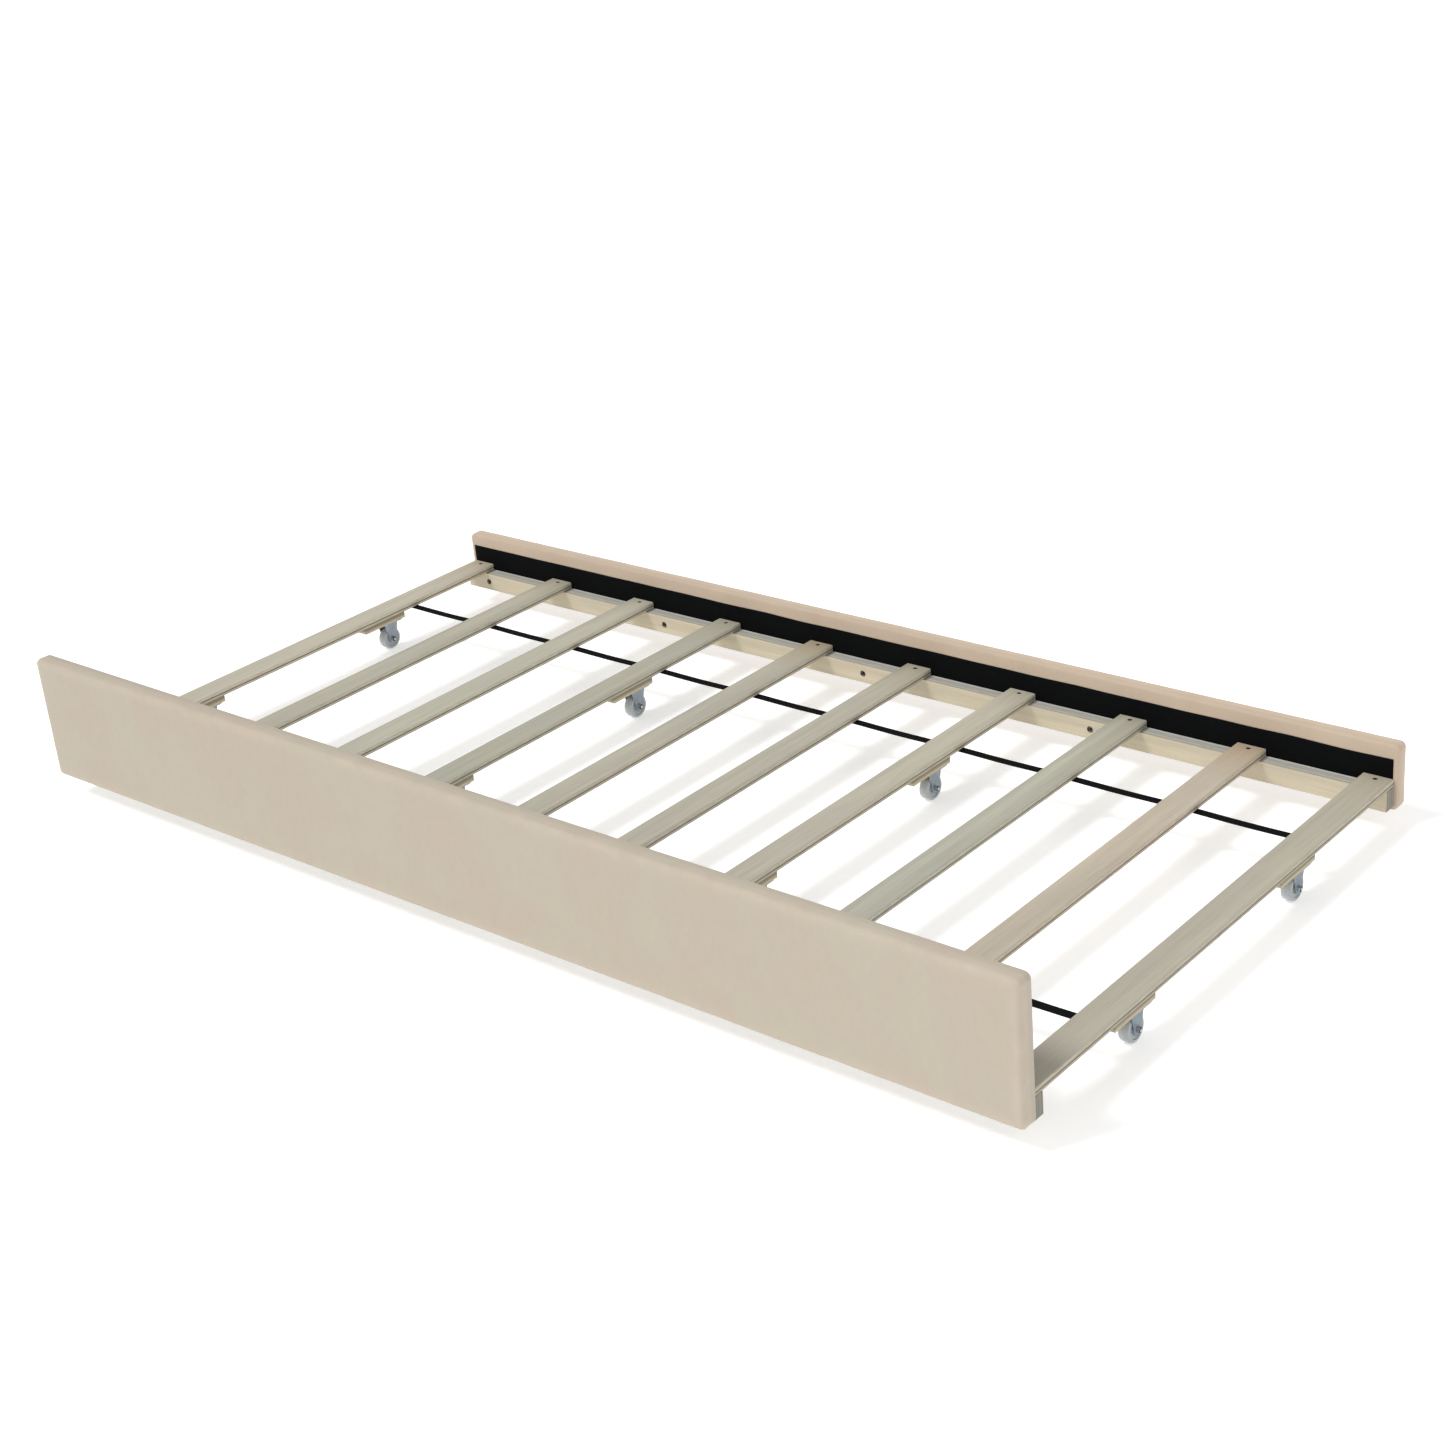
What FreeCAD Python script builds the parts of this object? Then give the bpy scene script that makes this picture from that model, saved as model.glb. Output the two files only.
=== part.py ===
import FreeCAD, Part
import os

import Sketcher

# Trundle bed: two upholstered panels joined by two ledger rails and ten flat slats, rolling on
# eight fixed casters.  X runs along the bed, +Y from the tall front panel to the low rear one, and
# Z is up from the floor.  The origin is on the floor under the middle of the bed.  Millimetres.

doc = FreeCAD.newDocument("TrundleBed")
sheet = doc.addObject("Spreadsheet::Sheet", "Sizes")

SIZES = [
    # overall
    ("panel_length", 1890.0),
    ("overall_depth", 1000.0),
    ("front_height", 207.0),
    ("front_bottom", 37.0),
    ("rear_height", 103.5),
    ("rear_bottom", 28.0),
    # upholstered panel, from the inside out
    ("board_thickness", 16.0),
    ("foam_face", 9.0),
    ("foam_edge", 5.0),
    ("cover_cloth", 1.2),
    ("lining_cloth", 0.6),
    ("corner_round", 9.0),
    ("face_round", 8.0),
    ("back_round", 3.0),
    ("turned_top", 30.0),
    ("turned_side", 14.0),
    ("lining_top", 22.0),
    ("lining_side", 8.0),
    # ledger rails
    ("rail_thickness", 22.0),
    ("rail_height", 32.0),
    ("end_inset", 6.0),
    ("bolt_count", 5.0),
    ("bolt_end", 53.0),
    ("bolt_radius", 3.0),
    ("bolt_head_radius", 5.0),
    ("bolt_head_height", 6.0),
    ("bolt_socket_radius", 2.3),
    ("bolt_socket_depth", 3.0),
    ("washer_radius", 5.2),
    ("washer_thickness", 1.0),
    ("counterbore_radius", 5.6),
    ("counterbore_depth", 10.0),
    ("insert_radius", 4.5),
    ("insert_wall", 3.0),
    ("tip_gap", 2.0),
    # slats
    ("slat_count", 10.0),
    ("slat_width", 48.0),
    ("slat_thickness", 12.0),
    ("slat_round", 2.0),
    ("slat_gap", 1.0),
    ("slat_screw_edge", 10.0),
    ("slat_screw_length", 32.0),
    ("screw_radius", 2.0),
    ("screw_head_radius", 4.0),
    ("screw_tip", 4.0),
    # caster blocks
    ("block_width", 40.0),
    ("block_length", 96.0),
    ("block_thickness", 12.0),
    ("block_shift", 21.0),
    ("block_screw_edge", 10.0),
    ("block_screw_length", 20.0),
    # casters
    ("caster_offset", 212.5),
    ("caster_height", 55.0),
    ("wheel_radius", 20.0),
    ("wheel_width", 16.6),
    ("wheel_round", 3.0),
    ("hub_radius", 7.5),
    ("rim_inner_radius", 14.5),
    ("web_recess", 1.6),
    ("wheel_side_gap", 0.6),
    ("sleeve_radius", 3.5),
    ("running_gap", 0.05),
    ("fork_sheet", 1.6),
    ("fork_top_width", 32.0),
    ("fork_end_radius", 8.8),
    ("plate_width", 39.0),
    ("plate_length", 44.0),
    ("plate_round", 4.0),
    ("plate_screw_edge_x", 4.6),
    ("plate_screw_edge_y", 6.0),
    ("plate_screw_radius", 1.7),
    ("plate_screw_head_radius", 3.4),
    ("plate_screw_head_height", 2.0),
    ("axle_radius", 2.5),
    ("hex_radius", 4.6),
    ("hex_height", 3.6),
    ("axle_proud", 1.4),
    # webbing straps
    ("strap_width", 15.0),
    ("strap_thickness", 1.6),
    ("strap_inset", 6.0),
    ("front_strap_gap", 1.0),
    ("rear_strap_gap", 19.0),
    ("staple_crown", 9.0),
    ("staple_wire", 0.8),
    ("staple_leg", 7.0),
    # one clearance for every fastener in its hole
    ("screw_gap", 0.05),
    ("clearance_gap", 0.3),
]
for row, (alias, value) in enumerate(SIZES, start=1):
    sheet.set("A%d" % row, alias)
    sheet.set("B%d" % row, str(value))
    sheet.setAlias("B%d" % row, alias)
doc.recompute()

# Heights and depths worked out from the sheet, as expressions that the features are bound to.
WHEEL_Z = "Sizes.wheel_radius"
BLOCK_Z = "Sizes.caster_height"
SLAT_Z = "(Sizes.caster_height + Sizes.block_thickness)"
SLAT_TOP = "(%s + Sizes.slat_thickness)" % SLAT_Z
RAIL_Z = "(%s - Sizes.rail_height)" % SLAT_Z
BOLT_Z = "(%s - Sizes.rail_height / 2)" % SLAT_Z
SKIN = "(Sizes.cover_cloth + Sizes.foam_face)"
PANEL = "(%s + Sizes.board_thickness + Sizes.cover_cloth + Sizes.lining_cloth)" % SKIN
INNER_Y = "(Sizes.overall_depth / 2 - %s)" % PANEL
EDGE = "(Sizes.cover_cloth + Sizes.foam_edge)"
SLAT_LENGTH = "(2 * %s - 2 * Sizes.slat_gap)" % INNER_Y
SLAT_SCREW_Y = "(%s / 2 - Sizes.slat_screw_edge)" % SLAT_LENGTH
RAIL_LENGTH = "(Sizes.panel_length - 2 * Sizes.end_inset)"
PITCH = "((%s - Sizes.slat_width) / (Sizes.slat_count - 1))" % RAIL_LENGTH
BOLT_PITCH = "((%s - 2 * Sizes.bolt_end) / (Sizes.bolt_count - 1))" % RAIL_LENGTH
INSERT_DEPTH = "(Sizes.board_thickness - Sizes.insert_wall)"
SCREW_HOLE = "(Sizes.screw_radius + Sizes.screw_gap)"
SCREW_SINK = "(Sizes.screw_head_radius - Sizes.screw_radius)"
FORK_INNER = "(Sizes.wheel_width / 2 + Sizes.wheel_side_gap)"
FORK_OUTER = "(%s + Sizes.fork_sheet)" % FORK_INNER
PLATE_Z = "(Sizes.caster_height - Sizes.fork_sheet)"
PLATE_SCREW_X = "(Sizes.plate_width / 2 - Sizes.plate_screw_edge_x)"
PLATE_SCREW_Y = "(Sizes.plate_length / 2 - Sizes.plate_screw_edge_y)"
BLOCK_SCREW_FAR = "(-Sizes.block_length / 2 + Sizes.block_screw_edge)"
BLOCK_SCREW_NEAR = "(Sizes.block_shift - Sizes.plate_length / 2 - Sizes.block_screw_edge)"

slat_total = int(sheet.slat_count)
bolt_total = int(sheet.bolt_count)
caster_slats = [0, 3, 6, 9]
sides = {"front": -1, "rear": 1}
pieces = []


def slat_x(index):
    """Centre line of one slat along the bed."""
    return "(-%s / 2 + Sizes.slat_width / 2 + %d * %s)" % (RAIL_LENGTH, index, PITCH)


def bolt_x(index):
    """Centre line of one rail bolt along the bed."""
    return "(-%s / 2 + Sizes.bolt_end + %d * %s)" % (RAIL_LENGTH, index, BOLT_PITCH)


def caster_y(side):
    """Axle line of the front (-1) or rear (+1) row of casters."""
    return "(%d * Sizes.caster_offset)" % side


def block_y(side):
    """Middle of a caster block, which stands forward of its caster."""
    return "(%s - Sizes.block_shift)" % caster_y(side)


# ---- helpers: bound placements, sketches and features ------------------------------------------

def place(obj, x="0", y="0", z="0"):
    """Bind an object's place to expressions."""
    for axis, expression in (("x", x), ("y", y), ("z", z)):
        obj.setExpression(".Placement.Base." + axis, expression)


def keep(obj, label):
    """Name an object as one piece of the bed."""
    obj.Label = label
    pieces.append(obj)
    return obj


def origin_plane(body, role):
    for feature in body.Origin.OriginFeatures:
        if feature.Role == role:
            return feature
    raise ValueError(role)


def new_sketch(body, role, name, offset=None):
    sketch = body.newObject("Sketcher::SketchObject", name)
    sketch.AttachmentSupport = [(origin_plane(body, role), "")]
    sketch.MapMode = "FlatFace"
    if offset is not None:
        sketch.setExpression("AttachmentOffset.Base.z", offset)
    return sketch


def pin(sketch, geometry, point, x, y):
    """Hold a point of the sketch at x, y, both expressions."""
    for kind, expression, axis in (("DistanceX", x, -2), ("DistanceY", y, -1)):
        if expression == "0":
            sketch.addConstraint(Sketcher.Constraint("PointOnObject", geometry, point, axis))
            continue
        value = float(sketch.evalExpression(expression))
        index = sketch.addConstraint(Sketcher.Constraint(kind, -1, 1, geometry, point, value))
        sketch.setExpression("Constraints[%d]" % index, expression)


def outline(sketch, points):
    """A closed outline of straight lines through points given as pairs of expressions."""
    spots = [FreeCAD.Vector(float(sketch.evalExpression(x)), float(sketch.evalExpression(y)), 0)
             for x, y in points]
    first = sketch.GeometryCount
    count = len(points)
    for index in range(count):
        sketch.addGeometry(Part.LineSegment(spots[index], spots[(index + 1) % count]), False)
    for index in range(count):
        after = first + (index + 1) % count
        sketch.addConstraint(Sketcher.Constraint("Coincident", first + index, 2, after, 1))
        pin(sketch, first + index, 1, *points[index])


def rectangle(sketch, width, height):
    """A rectangle centred on the sketch's origin."""
    x, y = "%s / 2" % width, "%s / 2" % height
    outline(sketch, [("-" + x, "-" + y), (x, "-" + y), (x, y), ("-" + x, y)])


def circles(sketch, radius, centres):
    """Circles of one radius round centres given as pairs of expressions."""
    size = float(sketch.evalExpression(radius))
    for x, y in centres:
        centre = FreeCAD.Vector(float(sketch.evalExpression(x)), float(sketch.evalExpression(y)), 0)
        circle = sketch.addGeometry(Part.Circle(centre, FreeCAD.Vector(0, 0, 1), size), False)
        index = sketch.addConstraint(Sketcher.Constraint("Radius", circle, size))
        sketch.setExpression("Constraints[%d]" % index, radius)
        pin(sketch, circle, 3, x, y)


def pad(body, sketch, length, backward=False):
    feature = body.newObject("PartDesign::Pad", "Pad")
    feature.Profile = sketch
    feature.setExpression("Length", length)
    feature.Reversed = backward
    return feature


def pocket(body, sketch, length, backward=False):
    feature = body.newObject("PartDesign::Pocket", "Pocket")
    feature.Profile = sketch
    feature.setExpression("Length", length)
    feature.Reversed = backward
    return feature


def dress(body, kind, size, wanted):
    """Fillet or chamfer the edges of the body's tip that wanted() picks out."""
    doc.recompute()
    base = body.Tip
    names = ["Edge%d" % number for number, edge in enumerate(base.Shape.Edges, start=1)
             if wanted(edge)]
    feature = body.newObject("PartDesign::" + kind, kind)
    feature.Base = (base, names)
    feature.setExpression("Radius" if kind == "Fillet" else "Size", size)
    return feature


def new_body(label):
    return doc.addObject("PartDesign::Body", label)


def box(name, corner, size):
    """A Part::Box whose low corner and sides are expressions."""
    item = doc.addObject("Part::Box", name)
    for side, expression in zip(("Length", "Width", "Height"), size):
        item.setExpression(side, expression)
    place(item, *corner)
    return item


def cylinder_y(name, radius, length, x, y, z):
    """A Part::Cylinder along +Y from y."""
    item = doc.addObject("Part::Cylinder", name)
    item.setExpression("Radius", radius)
    item.setExpression("Height", length)
    item.Placement = FreeCAD.Placement(FreeCAD.Vector(), FreeCAD.Rotation(FreeCAD.Vector(1, 0, 0), -90))
    place(item, x, y, z)
    return item


def cut(name, base, tool):
    item = doc.addObject("Part::Cut", name)
    item.Base = base
    item.Tool = tool
    return item


def fuse(name, shapes):
    item = doc.addObject("Part::MultiFuse", name)
    item.Shapes = shapes
    return item


def along_y(edge):
    return is_line(edge) and abs(edge.tangentAt(edge.FirstParameter).y) > 0.99


def is_line(edge):
    return edge.Curve.TypeId == "Part::GeomLine"


def group(label, master, spots):
    """Copies of one fastener as a single node: links to it, gathered in a compound."""
    links = []
    for number, (position, rotation) in enumerate(spots, start=1):
        link = doc.addObject("App::Link", "%s_%02d" % (label, number))
        link.LinkedObject = master
        link.Placement = FreeCAD.Placement(FreeCAD.Vector(), rotation)
        place(link, *position)
        links.append(link)
    compound = doc.addObject("Part::Compound", label)
    compound.Links = links
    return keep(compound, label)


# ---- upholstered panels ------------------------------------------------------------------------

def envelope(name, side, height, bottom, shrink):
    """Rounded outside of a panel, or the same shape one cloth thickness further in."""
    body = new_body(name)
    sketch = new_sketch(body, "XZ_Plane", name + "_outline")
    rectangle(sketch, "(Sizes.panel_length - 2 * %s)" % shrink, "(%s - 2 * %s)" % (height, shrink))
    depth = "(%s - Sizes.lining_cloth - 2 * %s)" % (PANEL, shrink)
    pad(body, sketch, depth)
    dress(body, "Fillet", "Sizes.corner_round - " + shrink, along_y)
    doc.recompute()
    far = -float(body.evalExpression(depth))
    dress(body, "Fillet", "Sizes.face_round - " + shrink, lambda edge: lies_at(edge, far))
    dress(body, "Fillet", "Sizes.back_round - " + shrink, lambda edge: lies_at(edge, 0.0))
    if side > 0:
        body.Placement = FreeCAD.Placement(FreeCAD.Vector(), FreeCAD.Rotation(180, 0, 0))
    back = "%d * (%s + Sizes.lining_cloth + %s)" % (side, INNER_Y, shrink)
    place(body, "0", back, "%s + %s / 2" % (bottom, height))
    return body


def lies_at(edge, y):
    """True for an edge that lies in the plane at this depth."""
    extent = edge.BoundBox
    return abs(extent.YMin - y) < 0.01 and abs(extent.YMax - y) < 0.01


def sheet_box(name, side, inset, bottom, height, top, offset, thickness):
    """A flat layer of a panel: inset at the ends and bottom, top below the panel's top edge, and
    offset out from the panel's inner face."""
    low = "%s + %s" % (INNER_Y, offset)
    if side < 0:
        low = "-(%s + %s)" % (low, thickness)
    corner = ("-(Sizes.panel_length / 2 - %s)" % inset, low, "%s + %s" % (bottom, inset))
    return box(name, corner, ("Sizes.panel_length - 2 * %s" % inset, thickness,
                              "%s - %s - %s" % (height, inset, top)))


def bolt_bores(name, side, radius, start, length):
    """Bores for the rail bolts, from start to start + length out from the panel's inner face."""
    low = "%s + %s" % (INNER_Y, start)
    if side < 0:
        low = "-(%s + %s)" % (low, length)
    bores = [cylinder_y("%s_%d" % (name, index + 1), radius, length, bolt_x(index), low, BOLT_Z)
             for index in range(bolt_total)]
    return fuse(name, bores)


def panel(word, side):
    """Board, foam, turned-over cover and black lining of one panel."""
    height, bottom = "Sizes.%s_height" % word, "Sizes.%s_bottom" % word
    cloth_back = "(Sizes.lining_cloth + Sizes.cover_cloth)"
    outside = envelope(word + "_outside", side, height, bottom, "0")
    inside = envelope(word + "_inside", side, height, bottom, "Sizes.cover_cloth")

    blank = sheet_box(word + "_board_blank", side, EDGE, bottom, height, EDGE,
                      cloth_back, "Sizes.board_thickness")
    pockets = bolt_bores(word + "_insert_bores", side, "Sizes.insert_radius", cloth_back, INSERT_DEPTH)
    keep(cut(word + "_board", blank, pockets), word + "_board")
    keep(cut(word + "_foam", inside, blank), word + "_foam")

    holes = bolt_bores(word + "_cloth_bores", side, "Sizes.bolt_radius + Sizes.clearance_gap",
                       "0", cloth_back)
    shell = cut(word + "_shell", outside, inside)
    window = sheet_box(word + "_window", side, "Sizes.turned_side", bottom, height,
                       "Sizes.turned_top", "Sizes.lining_cloth", "Sizes.cover_cloth")
    opened = cut(word + "_opened", shell, window)
    keep(cut(word + "_cover", opened, holes), word + "_cover")

    patch = sheet_box(word + "_patch", side, "Sizes.turned_side", bottom, height,
                      "Sizes.turned_top", "Sizes.lining_cloth", "Sizes.cover_cloth")
    sheet_over = sheet_box(word + "_sheet", side, "Sizes.lining_side", bottom, height,
                           "Sizes.lining_top", "0", "Sizes.lining_cloth")
    lining = fuse(word + "_lining_blank", [patch, sheet_over])
    keep(cut(word + "_lining", lining, holes), word + "_lining")


# ---- turned and hexagonal parts that fasteners are made of -------------------------------------

def turned(name, points):
    """A body of revolution about its own Z axis from a half outline of radius, height pairs."""
    body = new_body(name)
    sketch = new_sketch(body, "XZ_Plane", name + "_half")
    outline(sketch, points)
    feature = body.newObject("PartDesign::Revolution", "Revolution")
    feature.Profile = sketch
    feature.ReferenceAxis = (sketch, ["V_Axis"])
    feature.Angle = 360.0
    return body


def countersunk_screw(name, length):
    """Wood screw pointing down from its flat head."""
    neck = "-" + SCREW_SINK
    point = "-%s" % length
    return turned(name, [
        ("0", "0"), ("Sizes.screw_head_radius - Sizes.screw_gap", "0"),
        ("Sizes.screw_radius - Sizes.screw_gap", neck),
        ("Sizes.screw_radius - Sizes.screw_gap", "%s + Sizes.screw_tip" % point), ("0", point)])


def circle_of(radius, height):
    """Test for a circular edge of this radius at this height in the body."""
    def wanted(edge):
        if edge.Curve.TypeId != "Part::GeomCircle":
            return False
        level = abs(edge.BoundBox.ZMin - height) < 0.01 and abs(edge.BoundBox.ZMax - height) < 0.01
        return level and abs(edge.Curve.Radius - radius) < 0.01
    return wanted


UPRIGHT = FreeCAD.Rotation(0, 0, 0)
UPSIDE_DOWN = FreeCAD.Rotation(FreeCAD.Vector(1, 0, 0), 180)
ALONG_X = FreeCAD.Rotation(FreeCAD.Vector(0, 1, 0), 90)
HEAD_TO_REAR = FreeCAD.Rotation(FreeCAD.Vector(1, 0, 0), -90)
HEAD_TO_FRONT = FreeCAD.Rotation(FreeCAD.Vector(1, 0, 0), 90)


# ---- ledger rails and their bolts --------------------------------------------------------------

def rail(word, side):
    """Rail bolted to the panel's inner face, counterbored from the inside of the bed."""
    body = new_body(word + "_rail")
    sketch = new_sketch(body, "XY_Plane", word + "_rail_outline")
    rectangle(sketch, RAIL_LENGTH, "Sizes.rail_thickness")
    pad(body, sketch, "Sizes.rail_height")

    spots = [(bolt_x(index), "Sizes.rail_height / 2") for index in range(bolt_total)]
    inner_face = "Sizes.rail_thickness / 2"
    bores = new_sketch(body, "XZ_Plane", word + "_rail_bores", inner_face)
    circles(bores, "Sizes.bolt_radius + Sizes.clearance_gap", spots)
    pocket(body, bores, "Sizes.rail_thickness")
    seats = new_sketch(body, "XZ_Plane", word + "_rail_seats", inner_face)
    circles(seats, "Sizes.counterbore_radius", spots)
    pocket(body, seats, "Sizes.counterbore_depth")

    pilots = new_sketch(body, "XY_Plane", word + "_rail_pilots", "Sizes.rail_height")
    screw_line = "(%s - %s + Sizes.rail_thickness / 2)" % (SLAT_SCREW_Y, INNER_Y)
    circles(pilots, SCREW_HOLE, [(slat_x(index), screw_line) for index in range(slat_total)])
    pocket(body, pilots, "Sizes.slat_screw_length - Sizes.slat_thickness + Sizes.screw_gap")

    if side < 0:
        body.Placement = FreeCAD.Placement(FreeCAD.Vector(), FreeCAD.Rotation(180, 0, 0))
    place(body, "0", "%d * (%s - Sizes.rail_thickness / 2)" % (side, INNER_Y), RAIL_Z)
    keep(body, word + "_rail")


def rail_fasteners():
    """Socket bolts, their washers, and the threaded inserts that they pull into the boards."""
    grip = "(Sizes.washer_thickness + Sizes.rail_thickness - Sizes.counterbore_depth)"
    shank = "(%s + Sizes.lining_cloth + Sizes.cover_cloth + %s - Sizes.tip_gap)" % (grip, INSERT_DEPTH)
    bolt = turned("rail_bolt_master", [
        ("0", "-" + shank), ("Sizes.bolt_radius", "-" + shank), ("Sizes.bolt_radius", "0"),
        ("Sizes.bolt_head_radius", "0"), ("Sizes.bolt_head_radius", "Sizes.bolt_head_height"),
        ("0", "Sizes.bolt_head_height")])
    socket = new_sketch(bolt, "XY_Plane", "rail_bolt_socket", "Sizes.bolt_head_height")
    outline(socket, [("Sizes.bolt_socket_radius * cos(%d)" % angle,
                      "Sizes.bolt_socket_radius * sin(%d)" % angle) for angle in range(0, 360, 60)])
    pocket(bolt, socket, "Sizes.bolt_socket_depth")
    bore = "Sizes.bolt_radius + Sizes.screw_gap"
    washer = turned("rail_washer_master", [
        (bore, "-Sizes.washer_thickness"), ("Sizes.washer_radius", "-Sizes.washer_thickness"),
        ("Sizes.washer_radius", "0"), (bore, "0")])
    insert_skin = "Sizes.insert_radius - Sizes.screw_gap"
    insert = turned("rail_insert_master", [
        (bore, "-" + INSERT_DEPTH), (insert_skin, "-" + INSERT_DEPTH), (insert_skin, "0"), (bore, "0")])

    head_seats = []
    insert_mouths = []
    for side, rotation in ((-1, HEAD_TO_REAR), (1, HEAD_TO_FRONT)):
        seat = "%d * (%s - %s)" % (side, INNER_Y, grip)
        mouth = "%d * (%s + Sizes.lining_cloth + Sizes.cover_cloth)" % (side, INNER_Y)
        for index in range(bolt_total):
            head_seats.append(((bolt_x(index), seat, BOLT_Z), rotation))
            insert_mouths.append(((bolt_x(index), mouth, BOLT_Z), rotation))
    group("rail_bolts", bolt, head_seats)
    group("rail_washers", washer, head_seats)
    group("rail_inserts", insert, insert_mouths)


# ---- slats, their screws and the webbing that spaces them --------------------------------------

def slat(index):
    """Flat slat with eased edges and a countersunk screw hole at each end."""
    name = "slat_%02d" % (index + 1)
    body = new_body(name)
    sketch = new_sketch(body, "XY_Plane", name + "_outline")
    rectangle(sketch, "Sizes.slat_width", SLAT_LENGTH)
    pad(body, sketch, "Sizes.slat_thickness")
    dress(body, "Fillet", "Sizes.slat_round", along_y)

    holes = new_sketch(body, "XY_Plane", name + "_holes", "Sizes.slat_thickness")
    circles(holes, SCREW_HOLE, [("0", "-" + SLAT_SCREW_Y), ("0", SLAT_SCREW_Y)])
    pocket(body, holes, "Sizes.slat_thickness")
    rim = circle_of(float(body.evalExpression(SCREW_HOLE)), float(sheet.slat_thickness))
    dress(body, "Chamfer", SCREW_SINK, rim)

    if index in caster_slats:
        pilots = new_sketch(body, "XY_Plane", name + "_pilots")
        circles(pilots, SCREW_HOLE, [("0", "%s + %s" % (block_y(side), step))
                                     for side in (-1, 1)
                                     for step in (BLOCK_SCREW_FAR, BLOCK_SCREW_NEAR)])
        depth = "Sizes.block_screw_length - Sizes.block_thickness + Sizes.screw_gap"
        pocket(body, pilots, depth, backward=True)
    place(body, slat_x(index), "0", SLAT_Z)
    keep(body, name)


def slat_screws():
    screw = countersunk_screw("slat_screw_master", "Sizes.slat_screw_length")
    group("slat_screws", screw, [((slat_x(index), "%d * %s" % (side, SLAT_SCREW_Y), SLAT_TOP), UPRIGHT)
                                 for side in (-1, 1) for index in range(slat_total)])


def strap_y(side):
    """Middle of a webbing strap, just outside the caster blocks."""
    gap = "Sizes.front_strap_gap" if side < 0 else "Sizes.rear_strap_gap"
    reach = "(Sizes.block_length / 2 + %s + Sizes.strap_width / 2)" % gap
    return "(%s + %d * %s)" % (block_y(side), side, reach)


def straps():
    """Two straps under the slats, each stapled to every slat."""
    length = "%s - 2 * Sizes.strap_inset" % RAIL_LENGTH
    under = "%s - Sizes.strap_thickness" % SLAT_Z
    for word, side in sides.items():
        corner = ("-(%s) / 2" % length, "%s - Sizes.strap_width / 2" % strap_y(side), under)
        strap = box(word + "_strap", corner, (length, "Sizes.strap_width", "Sizes.strap_thickness"))
        keep(strap, word + "_strap")

    wire, crown, leg = "Sizes.staple_wire", "Sizes.staple_crown", "Sizes.staple_leg"
    half_wire, half_crown = "-%s / 2" % wire, "-%s / 2" % crown
    bar = box("staple_bar", (half_wire, half_crown, "-" + wire), (wire, crown, wire))
    near = box("staple_near_leg", (half_wire, half_crown, "0"), (wire, wire, leg))
    far = box("staple_far_leg", (half_wire, "%s / 2 - %s" % (crown, wire), "0"), (wire, wire, leg))
    staple = fuse("staple_master", [bar, near, far])
    group("strap_staples", staple, [((slat_x(index), strap_y(side), under), UPRIGHT)
                                    for side in (-1, 1) for index in range(slat_total)])


# ---- caster blocks and casters -----------------------------------------------------------------

def caster_block(name, x, side):
    """Plywood pad under a slat: two countersunk holes up into the slat, four for the caster."""
    body = new_body(name)
    sketch = new_sketch(body, "XY_Plane", name + "_outline")
    rectangle(sketch, "Sizes.block_width", "Sizes.block_length")
    pad(body, sketch, "Sizes.block_thickness")
    pilots = new_sketch(body, "XY_Plane", name + "_pilots")
    circles(pilots, "Sizes.plate_screw_radius + Sizes.screw_gap",
            [("%d * %s" % (across, PLATE_SCREW_X), "Sizes.block_shift + %d * %s" % (along, PLATE_SCREW_Y))
             for across in (-1, 1) for along in (-1, 1)])
    pocket(body, pilots, "Sizes.block_thickness", backward=True)
    holes = new_sketch(body, "XY_Plane", name + "_holes")
    circles(holes, SCREW_HOLE, [("0", BLOCK_SCREW_FAR), ("0", BLOCK_SCREW_NEAR)])
    pocket(body, holes, "Sizes.block_thickness", backward=True)
    rim = circle_of(float(body.evalExpression(SCREW_HOLE)), 0.0)
    dress(body, "Chamfer", SCREW_SINK, rim)
    place(body, x, block_y(side), BLOCK_Z)
    keep(body, name)


def caster_fork(name, x, side):
    """Pressed fork: a screwed top plate and two legs that taper to the axle at the origin."""
    body = new_body(name)
    rise = "(%s - %s)" % (PLATE_Z, WHEEL_Z)
    plate = new_sketch(body, "XY_Plane", name + "_plate", rise)
    rectangle(plate, "Sizes.plate_width", "Sizes.plate_length")
    pad(body, plate, "Sizes.fork_sheet")
    dress(body, "Fillet", "Sizes.plate_round",
          lambda edge: is_line(edge) and abs(edge.tangentAt(edge.FirstParameter).z) > 0.99)
    for number, start in enumerate((FORK_INNER, "-" + FORK_OUTER), start=1):
        leg = new_sketch(body, "YZ_Plane", "%s_leg_%d" % (name, number), start)
        outline(leg, [("-Sizes.fork_top_width / 2", rise), ("-Sizes.fork_end_radius", "0"),
                      ("Sizes.fork_end_radius", "0"), ("Sizes.fork_top_width / 2", rise)])
        pad(body, leg, "Sizes.fork_sheet")
        end = new_sketch(body, "YZ_Plane", "%s_leg_end_%d" % (name, number), start)
        circles(end, "Sizes.fork_end_radius", [("0", "0")])
        pad(body, end, "Sizes.fork_sheet")
    bore = new_sketch(body, "YZ_Plane", name + "_bore", FORK_OUTER)
    circles(bore, "Sizes.axle_radius + Sizes.screw_gap", [("0", "0")])
    pocket(body, bore, "2 * " + FORK_OUTER)
    holes = new_sketch(body, "XY_Plane", name + "_holes", rise)
    circles(holes, "Sizes.plate_screw_radius + Sizes.screw_gap",
            [("%d * %s" % (across, PLATE_SCREW_X), "%d * %s" % (along, PLATE_SCREW_Y))
             for across in (-1, 1) for along in (-1, 1)])
    pocket(body, holes, "Sizes.fork_sheet", backward=True)
    place(body, x, caster_y(side), WHEEL_Z)
    keep(body, name)


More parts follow.
